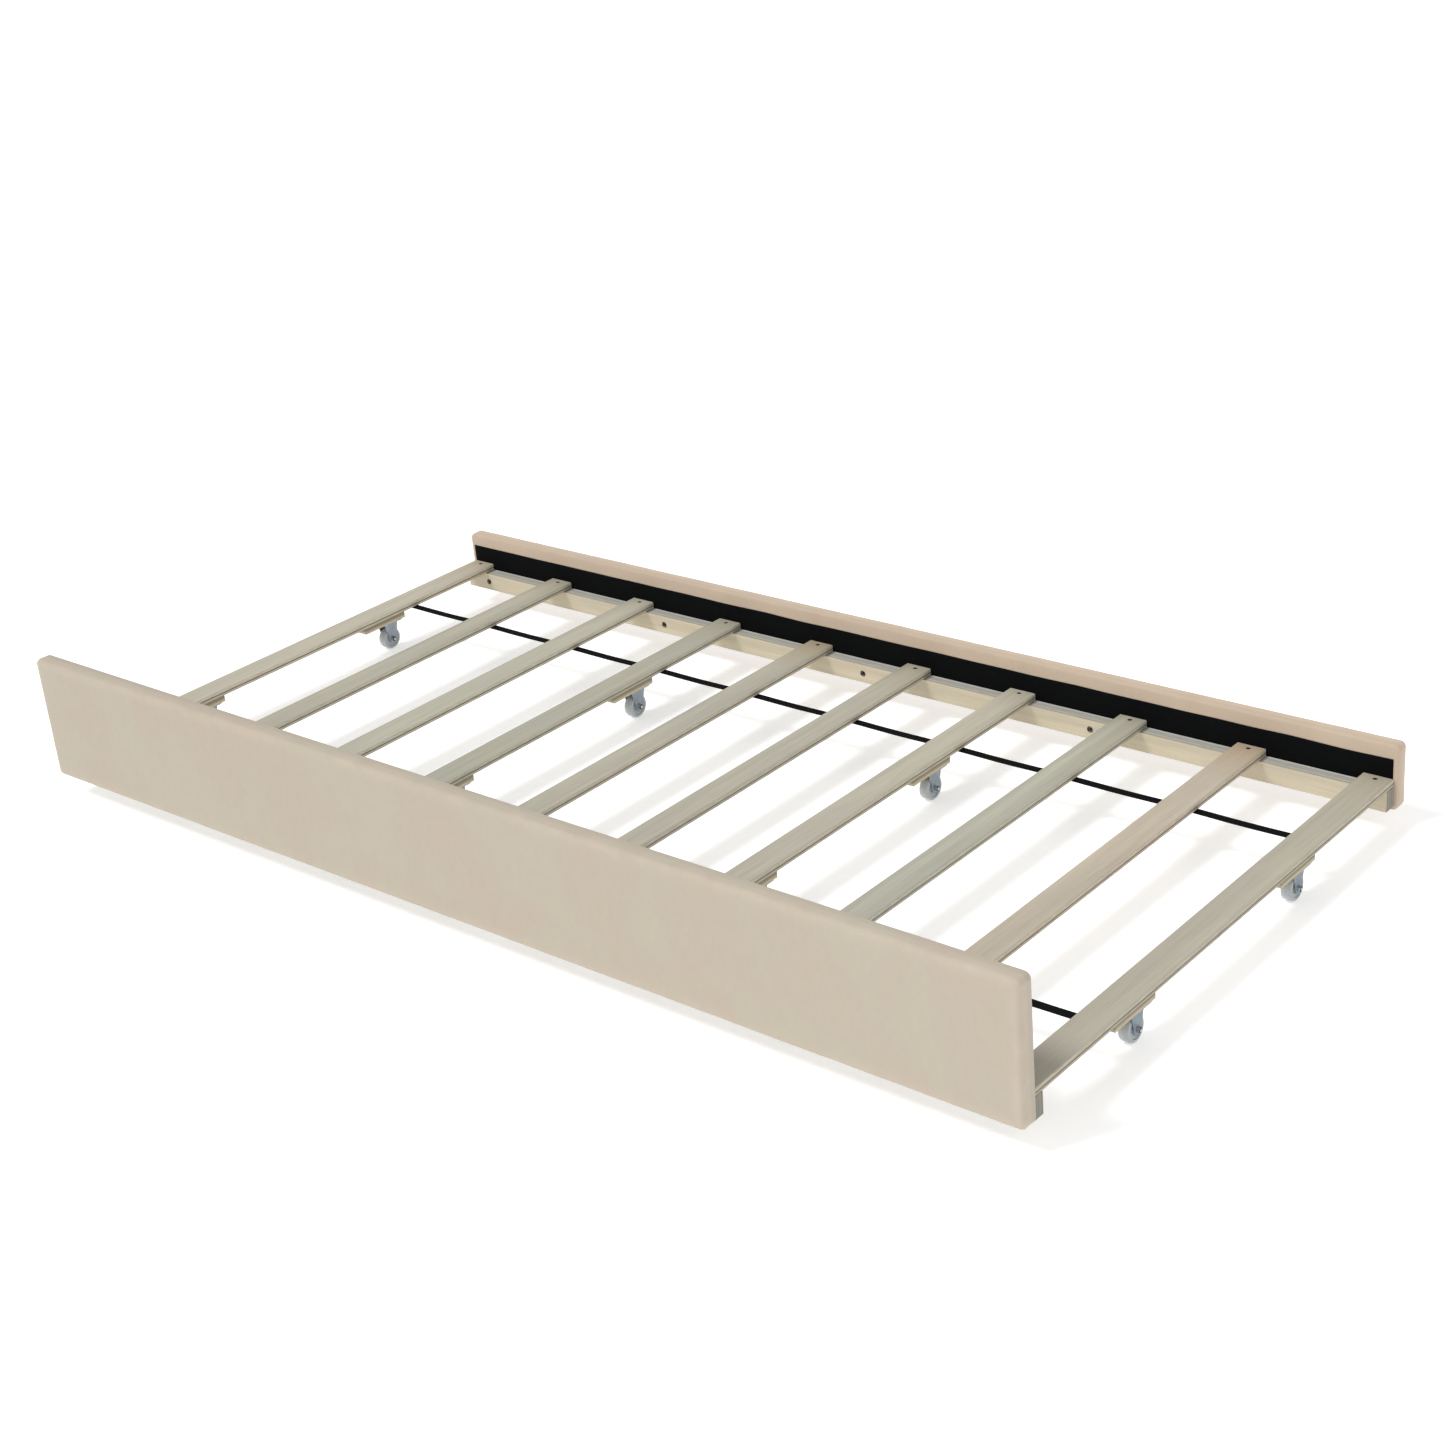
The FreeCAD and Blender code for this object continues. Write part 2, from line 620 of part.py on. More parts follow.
def caster_wheel(name, x, side):
    """Solid wheel with a rounded tread, and a recess in each face between hub and rim."""
    half = "Sizes.wheel_width / 2"
    floor = "(%s - Sizes.web_recess)" % half
    bore = "Sizes.sleeve_radius + Sizes.running_gap"
    body = turned(name, [
        (bore, "-" + half), ("Sizes.hub_radius", "-" + half), ("Sizes.hub_radius", "-" + floor),
        ("Sizes.rim_inner_radius", "-" + floor), ("Sizes.rim_inner_radius", "-" + half),
        ("Sizes.wheel_radius", "-" + half), ("Sizes.wheel_radius", half),
        ("Sizes.rim_inner_radius", half), ("Sizes.rim_inner_radius", floor),
        ("Sizes.hub_radius", floor), ("Sizes.hub_radius", half), (bore, half)])
    tread_edges = [circle_of(float(sheet.wheel_radius), sign * float(sheet.wheel_width) / 2)
                   for sign in (-1, 1)]
    dress(body, "Fillet", "Sizes.wheel_round", lambda edge: any(test(edge) for test in tread_edges))
    body.Placement = FreeCAD.Placement(FreeCAD.Vector(), ALONG_X)
    place(body, x, caster_y(side), WHEEL_Z)
    keep(body, name)


def caster_fasteners(spots):
    """Screws, axle bolts, nuts and sleeves of all the casters; spots are x, side pairs."""
    block_screw = countersunk_screw("block_screw_master", "Sizes.block_screw_length")
    group("block_screws", block_screw,
          [((x, "%s + %s" % (block_y(side), step), BLOCK_Z), UPSIDE_DOWN)
           for x, side in spots for step in (BLOCK_SCREW_FAR, BLOCK_SCREW_NEAR)])

    reach = "(Sizes.fork_sheet + Sizes.block_thickness - Sizes.tip_gap)"
    shank = "Sizes.plate_screw_radius"
    plate_screw = turned("plate_screw_master", [
        ("0", "-" + reach), (shank, "-%s + Sizes.screw_tip" % reach), (shank, "0"),
        ("Sizes.plate_screw_head_radius", "0"),
        ("Sizes.plate_screw_head_radius", "Sizes.plate_screw_head_height / 2"),
        (shank, "Sizes.plate_screw_head_height"), ("0", "Sizes.plate_screw_head_height")])
    group("caster_screws", plate_screw,
          [(("%s + %d * %s" % (x, across, PLATE_SCREW_X),
             "%s + %d * %s" % (caster_y(side), along, PLATE_SCREW_Y), PLATE_Z), UPSIDE_DOWN)
           for x, side in spots for across in (-1, 1) for along in (-1, 1)])

    head = doc.addObject("Part::Prism", "axle_head")
    head.Polygon = 6
    head.setExpression("Circumradius", "Sizes.hex_radius")
    head.setExpression("Height", "Sizes.hex_height")
    place(head, "0", "0", "-%s - Sizes.hex_height" % FORK_OUTER)
    bar = doc.addObject("Part::Cylinder", "axle_bar")
    bar.setExpression("Radius", "Sizes.axle_radius")
    bar.setExpression("Height", "2 * %s + Sizes.hex_height + Sizes.axle_proud" % FORK_OUTER)
    place(bar, "0", "0", "-" + FORK_OUTER)
    axle_spots = [((x, caster_y(side), WHEEL_Z), ALONG_X) for x, side in spots]
    group("axle_bolts", fuse("axle_bolt_master", [head, bar]), axle_spots)

    hexagon = doc.addObject("Part::Prism", "nut_hexagon")
    hexagon.Polygon = 6
    hexagon.setExpression("Circumradius", "Sizes.hex_radius")
    hexagon.setExpression("Height", "Sizes.hex_height")
    place(hexagon, "0", "0", FORK_OUTER)
    bore = doc.addObject("Part::Cylinder", "nut_bore")
    bore.setExpression("Radius", "Sizes.axle_radius + Sizes.screw_gap")
    bore.setExpression("Height", "Sizes.hex_height")
    place(bore, "0", "0", FORK_OUTER)
    group("axle_nuts", cut("axle_nut_master", hexagon, bore), axle_spots)

    inside = "Sizes.axle_radius + Sizes.screw_gap"
    sleeve = turned("axle_sleeve_master", [
        (inside, "-" + FORK_INNER), ("Sizes.sleeve_radius", "-" + FORK_INNER),
        ("Sizes.sleeve_radius", FORK_INNER), (inside, FORK_INNER)])
    group("axle_sleeves", sleeve, axle_spots)


# ---- the bed -----------------------------------------------------------------------------------

for word, side in sides.items():
    panel(word, side)
    rail(word, side)
rail_fasteners()
for index in range(slat_total):
    slat(index)
slat_screws()
straps()
caster_spots = []
for word, side in sides.items():
    for number, index in enumerate(caster_slats, start=1):
        caster_spots.append((slat_x(index), side))
        caster_block("%s_block_%d" % (word, number), slat_x(index), side)
        caster_fork("%s_fork_%d" % (word, number), slat_x(index), side)
        caster_wheel("%s_wheel_%d" % (word, number), slat_x(index), side)
caster_fasteners(caster_spots)
doc.recompute()

for item in doc.Objects:
    if "Invalid" in item.State or "Error" in item.State:
        raise RuntimeError("%s failed: %s" % (item.Label, item.State))
    if item.TypeId == "PartDesign::Pocket" and item.AddSubShape.Volume > 0:
        if item.Shape.Volume > item.BaseFeature.Shape.Volume - 0.01:
            raise RuntimeError("%s in %s cuts nothing" % (item.Label, item.getParent().Label))
for piece in pieces:
    if piece.Shape.isNull() or not piece.Shape.isValid():
        raise RuntimeError("%s has a bad shape" % piece.Label)

os.makedirs("parts", exist_ok=True)
for piece in pieces:
    piece.Shape.exportStep("parts/%s.step" % piece.Label)
    print("%-18s %2d solid(s) %10.1f cm3" % (piece.Label, len(piece.Shape.Solids),
                                             piece.Shape.Volume / 1000))
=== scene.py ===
"""Looks of the trundle bed: velvet panels, dust cloth, plywood, webbing, casters and fasteners."""

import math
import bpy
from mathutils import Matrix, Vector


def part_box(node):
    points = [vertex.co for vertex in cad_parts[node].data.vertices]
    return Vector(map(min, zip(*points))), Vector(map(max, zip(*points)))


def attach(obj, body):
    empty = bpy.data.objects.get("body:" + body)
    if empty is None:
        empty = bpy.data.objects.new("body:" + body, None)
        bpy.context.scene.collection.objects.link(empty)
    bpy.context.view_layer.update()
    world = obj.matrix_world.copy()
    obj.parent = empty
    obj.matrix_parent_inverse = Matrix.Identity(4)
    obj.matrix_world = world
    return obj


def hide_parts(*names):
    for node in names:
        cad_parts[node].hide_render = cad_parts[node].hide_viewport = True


bl_info = {
    "name": "Trundle Bed Looks",
    "version": (1, 0, 0),
    "blender": (4, 5, 0),
    "location": "3D View > Sidebar > Trundle Bed",
    "description": "Builds the visible pieces of an upholstered trundle bed round its packed frame",
    "category": "Object",
}

import bmesh
import bpy
from mathutils import Matrix, Vector, noise

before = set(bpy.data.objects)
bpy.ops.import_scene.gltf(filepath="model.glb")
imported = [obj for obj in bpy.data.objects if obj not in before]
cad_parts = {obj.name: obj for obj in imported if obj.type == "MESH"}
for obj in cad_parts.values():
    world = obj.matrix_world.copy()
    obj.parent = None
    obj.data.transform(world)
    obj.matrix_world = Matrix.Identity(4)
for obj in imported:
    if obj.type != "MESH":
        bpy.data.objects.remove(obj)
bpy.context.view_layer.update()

MM = 0.001
PANELS = {"front": -1, "rear": 1}
CASTERS = [f"{word}_%s_{number}" for word in PANELS for number in range(1, 5)]
SLATS = [f"slat_{number:02d}" for number in range(1, 11)]
# How much warmer and lighter each slat is than the plain veneer, and how brown its rear end is.
SLAT_TONES = [
    (0.30, 0.14, 0.4), (0.05, 0.02, 0.3), (0.00, 0.10, 0.1), (-0.10, -0.03, 0.2), (0.10, 0.00, 0.7),
    (0.15, 0.00, 0.3), (0.20, 0.04, 0.1), (-0.20, 0.02, 0.2), (0.75, 0.06, 0.6), (0.25, -0.04, 0.2)]
SIM_FRAMES = 20
UP, DOWN = Vector((0, 0, 1)), Vector((0, 0, -1))


# ---- sizes and colours -------------------------------------------------------------------------

def length(name, description, default):
    return bpy.props.FloatProperty(name=name, description=description, default=default, min=0.0,
                                   subtype="DISTANCE", unit="LENGTH", precision=5)


def point(name, description, default):
    return bpy.props.FloatVectorProperty(name=name, description=description, default=default,
                                         subtype="TRANSLATION", unit="LENGTH", size=3)


def colour(name, description, default):
    return bpy.props.FloatVectorProperty(name=name, description=description, default=default,
                                         subtype="COLOR", size=3, min=0.0, max=1.0)


class TrundleUpholstery(bpy.types.PropertyGroup):
    """Sizes of the velvet covers and the dust cloth."""
    corner: length("Corner", "Radius of a panel's four corners", 9 * MM)
    face_edge: length("Face edge", "Radius from the padded face to the edge", 8 * MM)
    back_edge: length("Back edge", "Radius from the edge to the turned-over margin", 3 * MM)
    margin_top: length("Top margin", "Velvet turned over at the top of the inner face", 30 * MM)
    margin_side: length("Side margin", "Velvet turned over at the ends and the bottom", 14 * MM)
    cloth: length("Cloth", "Thickness of the velvet with its pile", 1.2 * MM)
    cell: length("Cell", "Spacing of the threads that the simulation moves", 6 * MM)
    crown: length("Crown", "How far the foam may push the velvet out", 2.4 * MM)
    ripple: length("Ripple", "Unevenness where the velvet is pulled over an edge", 0.7 * MM)
    lining: length("Dust cloth", "Thickness of the black dust cloth", 0.6 * MM)
    hem: length("Hem", "Width of the dust cloth's folded edge", 9 * MM)


class TrundleHardware(bpy.types.PropertyGroup):
    """Sizes of screws, bolts, nuts, staples and casters that the frame does not carry."""
    slat_head: length("Slat screw head", "Radius of a slat screw's flat head", 3.9 * MM)
    block_head: length("Block screw head", "Radius of a block screw's flat head", 3.9 * MM)
    plate_head: length("Plate screw head", "Radius of a caster screw's round head", 3.4 * MM)
    wood_shank: length("Wood screw shank", "Radius of a wood screw", 1.9 * MM)
    plate_shank: length("Plate screw shank", "Radius of a caster screw", 1.65 * MM)
    recess: length("Cross recess", "Width of one arm of a screw's cross recess", 1.0 * MM)
    sunk: length("Sunk", "How far a flat head is pulled below the wood", 0.5 * MM)
    bolt_head: length("Bolt head", "Radius of a rail bolt's round head", 4.9 * MM)
    bolt_shank: length("Bolt shank", "Radius of a rail bolt", 2.95 * MM)
    socket: length("Socket", "Corner radius of a rail bolt's hexagon socket", 2.6 * MM)
    axle: length("Axle", "Radius of a caster's axle bolt", 2.5 * MM)
    hexagon: length("Hexagon", "Corner radius of an axle bolt's head and nut", 4.6 * MM)
    hexagon_height: length("Hexagon height", "Height of an axle bolt's head and nut", 3.6 * MM)
    sleeve: length("Sleeve", "Outer radius of the sleeve in a wheel's hub", 3.5 * MM)
    wire: length("Staple wire", "Thickness of a staple's wire", 0.8 * MM)
    crown: length("Staple crown", "Width of a staple", 9 * MM)
    leg: length("Staple leg", "Length of a staple's leg", 6.6 * MM)
    sheet: length("Fork sheet", "Thickness of a caster's pressed sheet", 1.6 * MM)
    head_depth: length("Bolt depth", "How far a rail bolt's head lies below the rail's face", 3 * MM)
    head_height: length("Bolt head height", "Height of a rail bolt's head", 6 * MM)
    washer: length("Washer", "Radius of a rail bolt's washer", 5.2 * MM)
    insert: length("Insert", "Outer radius of a threaded insert", 4.45 * MM)
    insert_length: length("Insert length", "Length of a threaded insert", 13 * MM)
    bolt_play: length("Bolt play", "Gap round a rail bolt in its washer and insert", 0.1 * MM)
    turning_gap: length("Turning gap", "Gap round an axle and round its sleeve", 0.05 * MM)
    side_gap: length("Side gap", "Gap between a wheel and its fork", 0.6 * MM)
    fork_root: length("Fork root", "Radius where a fork's leg leaves its plate", 1.8 * MM)
    fork_reach: length("Fork reach", "Half the width of a fork's leg at its plate", 15.7 * MM)
    tread: length("Tread edge", "Radius from a wheel's tread to its side", 3.4 * MM)
    lip: length("Wheel lip", "Radius of the small edges of a wheel's side", 0.5 * MM)
    hub: length("Hub", "Radius of a wheel's hub", 7.5 * MM)
    rim: length("Rim", "Inner radius of a wheel's rim", 14.5 * MM)
    web: length("Web", "How deep a wheel's web lies between hub and rim", 1.6 * MM)
    seed: bpy.props.IntProperty(name="Seed", description="Turns the fasteners at random", default=7)


class TrundleColours(bpy.types.PropertyGroup):
    """Colours of every finish."""
    velvet_cool: colour("Velvet, cool", "Velvet brushed away from the light", (0.482, 0.438, 0.350))
    velvet_warm: colour("Velvet, warm", "Velvet brushed towards the light", (0.488, 0.416, 0.339))
    velvet_rose: colour("Velvet, rose", "The rear panel's warmer velvet", (0.590, 0.475, 0.365))
    lining: colour("Dust cloth", "Black non-woven cloth", (0.0025, 0.0028, 0.0032))
    rail: colour("Rail veneer", "Pale veneer of the ledger rails", (0.590, 0.515, 0.375))
    slat: colour("Slat veneer", "Veneer of the slats", (0.465, 0.440, 0.350))
    block: colour("Block veneer", "Veneer of the caster blocks", (0.500, 0.430, 0.290))
    # Dark ply also paints the shade line under the slats at the top of each block.
    ply_dark: colour("Dark ply", "End grain and glue between the layers", (0.120, 0.095, 0.060))
    ply_grey: colour("Grey ply", "Weathered edge of the rails", (0.470, 0.465, 0.420))
    zinc: colour("Zinc plate", "Dull plating of the forks", (0.300, 0.350, 0.400))
    bright: colour("Bright steel", "Axle bolts, nuts and screws", (0.620, 0.640, 0.650))
    dark: colour("Dark steel", "Slat screws and rail bolts", (0.050, 0.040, 0.032))
    nylon: colour("Nylon", "Milky caster wheels", (0.420, 0.450, 0.465))
    webbing: colour("Webbing", "Black straps", (0.0030, 0.0030, 0.0036))


class TrundleStage(bpy.types.PropertyGroup):
    """Camera, floor and light."""
    place: point("Camera place", "Where the camera stands", (2.27917, -2.43608, 1.67188))
    turn: bpy.props.FloatProperty(name="Turn", description="Turn of the view about the vertical",
                                  default=math.radians(42.064), subtype="ANGLE", unit="ROTATION")
    dip: bpy.props.FloatProperty(name="Dip", description="How far the view looks down",
                                 default=math.radians(24.681), subtype="ANGLE", unit="ROTATION")
    roll: bpy.props.FloatProperty(name="Roll", description="Roll of the camera",
                                  default=math.radians(-5.33), subtype="ANGLE", unit="ROTATION")
    lens: bpy.props.FloatProperty(name="Lens", description="Focal length in millimetres", default=59.69)
    floor: colour("Floor", "Pale floor", (0.92, 0.92, 0.92))
    floor_reach: length("Floor reach", "Half the floor's side", 40.0)
    sky: bpy.props.FloatProperty(name="Room light", description="Even light from all round",
                                 default=0.60)
    sun: bpy.props.FloatProperty(name="Key light", description="Soft light from the upper left",
                                 default=1.7)
    sun_angle: bpy.props.FloatProperty(name="Key softness", description="How wide the key light looks",
                                       default=math.radians(18), subtype="ANGLE", unit="ROTATION")
    sun_from: bpy.props.FloatVectorProperty(name="Key side", description="Where the key light is from",
                                            default=(-0.45, -0.55, 1.0), subtype="XYZ", size=3)
    soft: bpy.props.FloatProperty(name="Soft box", description="Power of the soft box", default=9.0,
                                  unit="POWER")
    soft_place: point("Soft box place", "Where the soft box hangs", (2.6, -1.2, 1.6))
    soft_aim: point("Soft box aim", "What the soft box is turned to", (0.0, 0.0, 0.1))
    soft_width: length("Soft box width", "Longer side of the soft box", 2.4)
    soft_height: length("Soft box height", "Shorter side of the soft box", 1.2)
    glow: bpy.props.FloatProperty(name="Floor glow", description="Light that the floor sends back",
                                  default=0.36)


def settings(name):
    return getattr(bpy.context.scene, "trundle_" + name)


# ---- node trees --------------------------------------------------------------------------------

class Graph:
    """Adds nodes to a tree. What an input is given is a socket to link or a plain value."""

    def __init__(self, tree):
        self.tree = tree

    def feed(self, socket, value):
        if isinstance(value, bpy.types.NodeSocket):
            self.tree.links.new(value, socket)
        else:
            socket.default_value = value

    def add(self, kind, inputs=None, **values):
        node = self.tree.nodes.new(kind)
        for key, value in values.items():
            setattr(node, key, value)
        for key, value in (inputs or {}).items():
            self.feed(node.inputs[key], value)
        return node

    def math(self, operation, *values, clamp=False):
        node = self.add("ShaderNodeMath", dict(enumerate(values)), operation=operation)
        node.use_clamp = clamp
        return node.outputs[0]

    def plus(self, first, second):
        return self.math("ADD", first, second)

    def minus(self, first, second):
        return self.math("SUBTRACT", first, second)

    def times(self, first, second):
        return self.math("MULTIPLY", first, second)

    def split(self, vector):
        node = self.add("ShaderNodeSeparateXYZ", {0: vector})
        return dict(zip("XYZ", node.outputs))

    def join(self, x=0.0, y=0.0, z=0.0):
        return self.add("ShaderNodeCombineXYZ", {0: x, 1: y, 2: z}).outputs[0]


class Finish(Graph):
    """A material whose patterns all start from the piece's own coordinates."""

    def __init__(self, name, **constants):
        self.material = bpy.data.materials.new(name)
        self.material.use_nodes = True
        super().__init__(self.material.node_tree)
        self.shader = self.tree.nodes["Principled BSDF"]
        for key, value in constants.items():
            self.shader.inputs[key.replace("_", " ")].default_value = value
        self.place = self.add("ShaderNodeTexCoord").outputs["Object"]

    def stretched(self, scale, shift=(0, 0, 0)):
        return self.add("ShaderNodeMapping", {"Vector": self.place, "Scale": scale,
                                              "Location": shift}).outputs[0]

    def noise(self, scale, vector=None, detail=3.0, distortion=0.0):
        node = self.add("ShaderNodeTexNoise", {"Vector": vector or self.place, "Scale": scale,
                                               "Detail": detail, "Distortion": distortion})
        return node.outputs[0]

    def span(self, value, low, high, new_low=0.0, new_high=1.0):
        node = self.add("ShaderNodeMapRange", {0: value, 1: low, 2: high, 3: new_low, 4: new_high})
        return node.outputs[0]

    def mix(self, factor, first, second):
        node = self.add("ShaderNodeMix", data_type="RGBA")
        for index, value in ((0, factor), (6, first), (7, second)):
            self.feed(node.inputs[index], solid(value))
        return node.outputs[2]

    def facing(self, axis):
        """1 where the surface faces along an axis either way, 0 where it does not."""
        normal = self.split(self.add("ShaderNodeNewGeometry").outputs["Normal"])[axis]
        return self.math("GREATER_THAN", self.math("ABSOLUTE", normal), 0.6)

    def bump(self, height, depth, under=None):
        inputs = {"Height": height, "Distance": depth, "Strength": 1.0}
        if under is not None:
            inputs["Normal"] = under
        return self.add("ShaderNodeBump", inputs).outputs[0]

    def surface(self, base, roughness, normal=None):
        for key, value in (("Base Color", base), ("Roughness", roughness), ("Normal", normal)):
            if value is not None:
                self.feed(self.shader.inputs[key], value)
        return self.material


def solid(value):
    """A colour of three numbers gets its alpha; anything else is left as it is."""
    if hasattr(value, "__len__") and len(value) == 3:
        return (*value, 1.0)
    return value


def lighter(value, factor):
    return tuple(min(1.0, channel * factor) for channel in value)


# ---- finishes ----------------------------------------------------------------------------------

def velvet(name, cool, warm):
    """Short pile: broad brushed patches, small mottling, a painted highlight along the front edges, and a
    fine nap in the bump.
    """
    f = Finish(name, Sheen_Weight=0.18, Sheen_Roughness=0.5, Specular_IOR_Level=0.12)
    f.shader.inputs["Sheen Tint"].default_value = (1.0, 0.95, 0.88, 1.0)
    patches = f.span(f.noise(1.0, f.stretched((7.5, 6.0, 6.0)), 4.0, 0.9), 0.42, 0.60)
    strokes = f.span(f.noise(1.0, f.stretched((42.0, 30.0, 11.0)), 3.0, 0.6), 0.35, 0.70)
    broad = f.plus(f.times(patches, 0.8), f.times(strokes, 0.2))
    base = f.mix(broad, cool, warm)
    mottle = f.noise(1.0, f.stretched((110.0, 110.0, 70.0)), 5.0)
    base = f.mix(f.span(mottle, 0.3, 0.7, 0.0, 0.10), base, lighter(warm, 0.72))
    # Painted highlight: the band round the front edges is lightened. The edge attribute masks it and noise
    # breaks it up.
    edge = f.add("ShaderNodeAttribute", attribute_name="edge").outputs["Fac"]
    bevel_highlight = f.times(edge, f.span(f.noise(35.0, detail=4.0), 0.3, 0.7, 0.2, 0.7))
    base = f.mix(bevel_highlight, base, lighter(warm, 1.16))
    pile = f.noise(1600.0, detail=2.0)
    base = f.mix(f.span(pile, 0.3, 0.75, 0.0, 0.16), base, lighter(cool, 0.6))
    rough = f.span(strokes, 0.0, 1.0, 0.72, 0.9)
    soft = f.bump(f.noise(1.0, f.stretched((60.0, 60.0, 45.0)), 4.0), 0.5 * MM)
    return f.surface(base, rough, f.bump(pile, 0.15 * MM, soft))


def dust_cloth():
    """Thin black non-woven cloth: pressed fibres and faint dimples."""
    colours = settings("colours")
    f = Finish("dust_cloth", Specular_IOR_Level=0.07)
    fibres = f.noise(900.0, detail=6.0, distortion=1.5)
    base = f.mix(f.span(fibres, 0.4, 0.7), lighter(colours.lining, 0.7), lighter(colours.lining, 2.2))
    dimples = f.add("ShaderNodeTexVoronoi", {"Vector": f.place, "Scale": 420.0}).outputs[0]
    relief = f.plus(f.times(fibres, 0.6), f.times(dimples, 0.4))
    loose = f.bump(f.noise(1.0, f.stretched((14.0, 14.0, 30.0)), 3.0), 1.2 * MM)
    return f.surface(base, f.span(fibres, 0.3, 0.7, 0.82, 0.95), f.bump(relief, 0.12 * MM, loose))


def webbing():
    """Flat woven strap: ribs across it, and two warp lines near its edges."""
    f = Finish("woven_webbing", Specular_IOR_Level=0.06)
    axes = f.split(f.place)
    ribs = f.math("SINE", f.times(axes["X"], 2 * math.pi / (1.6 * MM)))
    warp = f.math("SINE", f.times(axes["Y"], 2 * math.pi / (1.25 * MM)))
    weave = f.span(f.times(ribs, warp), -1.0, 1.0)
    base_colour = settings("colours").webbing
    base = f.mix(weave, lighter(base_colour, 0.6), lighter(base_colour, 2.6))
    base = f.mix(f.span(f.noise(500.0), 0.5, 0.8, 0.0, 0.5), base, lighter(base_colour, 3.4))
    return f.surface(base, f.span(weave, 0.0, 1.0, 0.9, 0.7), f.bump(weave, 0.25 * MM))


def plywood(name, face, grain, layers, start, thick, bands, shift=0.0, stain=0.0, end_grain_and_shade=0.0):
    """Veneer with its grain along one axis; its edges show bands stacked along another axis."""
    f = Finish(name, Specular_IOR_Level=0.3)
    axes = f.split(f.place)
    scale = {axis: 46.0 for axis in "XYZ"}
    scale[grain] = 1.5
    lines = f.noise(1.0, f.stretched(tuple(scale.values()), (shift, shift, 0)), 7.0, 0.8)
    fine_scale = tuple(value * 9 for value in scale.values())
    pores = f.noise(1.0, f.stretched(fine_scale, (0, shift, shift)), 5.0, 0.4)
    cloud = f.noise(7.0, f.stretched((1, 1, 1), (shift, shift, shift)), 3.0, 0.3)
    top = f.mix(f.span(lines, 0.32, 0.70), lighter(face, 0.84), lighter(face, 1.10))
    top = f.mix(f.span(cloud, 0.35, 0.65, 0.0, 0.45), top, (face[0] * 0.90, face[1] * 0.93, face[2] * 1.0))
    top = f.mix(f.span(pores, 0.48, 0.75, 0.0, 0.35), top, lighter(face, 0.62))
    if stain:
        end = f.span(f.plus(axes["Y"], f.times(lines, 0.06)), 0.37, 0.52)
        brown = (face[0] * 0.78, face[1] * 0.62, face[2] * 0.46)
        top = f.mix(f.math("MULTIPLY", end, stain, clamp=True), top, brown)

    height = f.minus(f.math("ABSOLUTE", axes[layers]), start)
    wander = f.times(f.minus(f.noise(24.0), 0.5), 0.05)
    depth = f.plus(f.math("DIVIDE", height, thick), wander)
    ply = f.add("ShaderNodeValToRGB", {0: depth})
    stops = ply.color_ramp.elements
    for index, (position, tone) in enumerate(bands):
        stop = stops[index] if index < 2 else stops.new(position)
        stop.position = position
        stop.color = (*tone, 1.0)
    speck = f.noise(1.0, f.stretched(tuple(500.0 if scale[axis] > 2 else 60.0 for axis in "XYZ")), 4.0)
    side = f.mix(f.span(speck, 0.4, 0.7, 0.0, 0.30), ply.outputs[0], lighter(bands[0][1], 0.55))
    # End faces are pulled towards dark brown: partly darker end grain, partly painted shade on the ends
    # turned away from the key light.
    side = f.mix(f.times(f.facing(grain), end_grain_and_shade), side, (0.10, 0.085, 0.06))
    flat = f.facing(layers)
    base = f.mix(flat, side, top)
    relief = f.plus(f.times(pores, 0.4), f.times(speck, 0.3))
    return f.surface(base, f.span(lines, 0.2, 0.8, 0.46, 0.66), f.bump(relief, 0.18 * MM))


def steel(name, tint, roughness, metallic=1.0, brush=0.0):
    """Plated metal: cloudy plating, small specks, and brush lines where the sheet was rolled."""
    f = Finish(name, Metallic=metallic)
    cloud = f.noise(90.0, detail=5.0, distortion=0.6)
    specks = f.noise(1500.0, detail=3.0)
    base = f.mix(f.span(cloud, 0.35, 0.7, 0.0, 0.35), tint, lighter(tint, 0.55))
    base = f.mix(f.span(specks, 0.55, 0.8, 0.0, 0.3), base, lighter(tint, 1.5))
    rough = f.span(cloud, 0.3, 0.7, roughness - 0.08, roughness + 0.12)
    relief = f.times(specks, 0.5)
    if brush:
        rolled = f.noise(1.0, f.stretched((900.0, 60.0, 900.0)), 3.0)
        relief = f.plus(relief, f.times(rolled, brush))
    return f.surface(base, rough, f.bump(relief, 0.05 * MM))


def nylon():
    """Milky moulded wheel: even gloss, faint flow marks and a little floor dust on the tread."""
    f = Finish("milky_nylon", Coat_Weight=0.25, Coat_Roughness=0.18, Specular_IOR_Level=0.4)
    tint = settings("colours").nylon
    flow = f.noise(60.0, detail=4.0, distortion=1.2)
    base = f.mix(f.span(flow, 0.35, 0.65, 0.0, 0.5), tint, lighter(tint, 0.86))
    tread = f.add("ShaderNodeAttribute", attribute_name="tread").outputs["Fac"]
    dust = f.times(tread, f.span(f.noise(260.0, detail=6.0), 0.45, 0.75, 0.0, 0.6))
    base = f.mix(dust, base, (0.46, 0.45, 0.42))
    rough = f.plus(f.span(flow, 0.3, 0.7, 0.20, 0.32), f.times(dust, 0.5))
    return f.surface(base, rough, f.bump(f.noise(700.0), 0.03 * MM))


def particle_board():
    """Pressed chips of several sizes and tones."""
    f = Finish("particle_board", Specular_IOR_Level=0.2)
    chips = f.add("ShaderNodeTexVoronoi", {"Vector": f.stretched((260.0, 700.0, 420.0)), "Scale": 1.0})
    tone = f.split(chips.outputs["Color"])["X"]
    base = f.mix(tone, (0.32, 0.22, 0.12), (0.62, 0.48, 0.30))
    base = f.mix(f.span(f.noise(900.0, detail=5.0), 0.5, 0.75, 0.0, 0.5), base, (0.20, 0.13, 0.07))
    return f.surface(base, f.span(tone, 0.0, 1.0, 0.75, 0.9), f.bump(chips.outputs[0], 0.2 * MM))


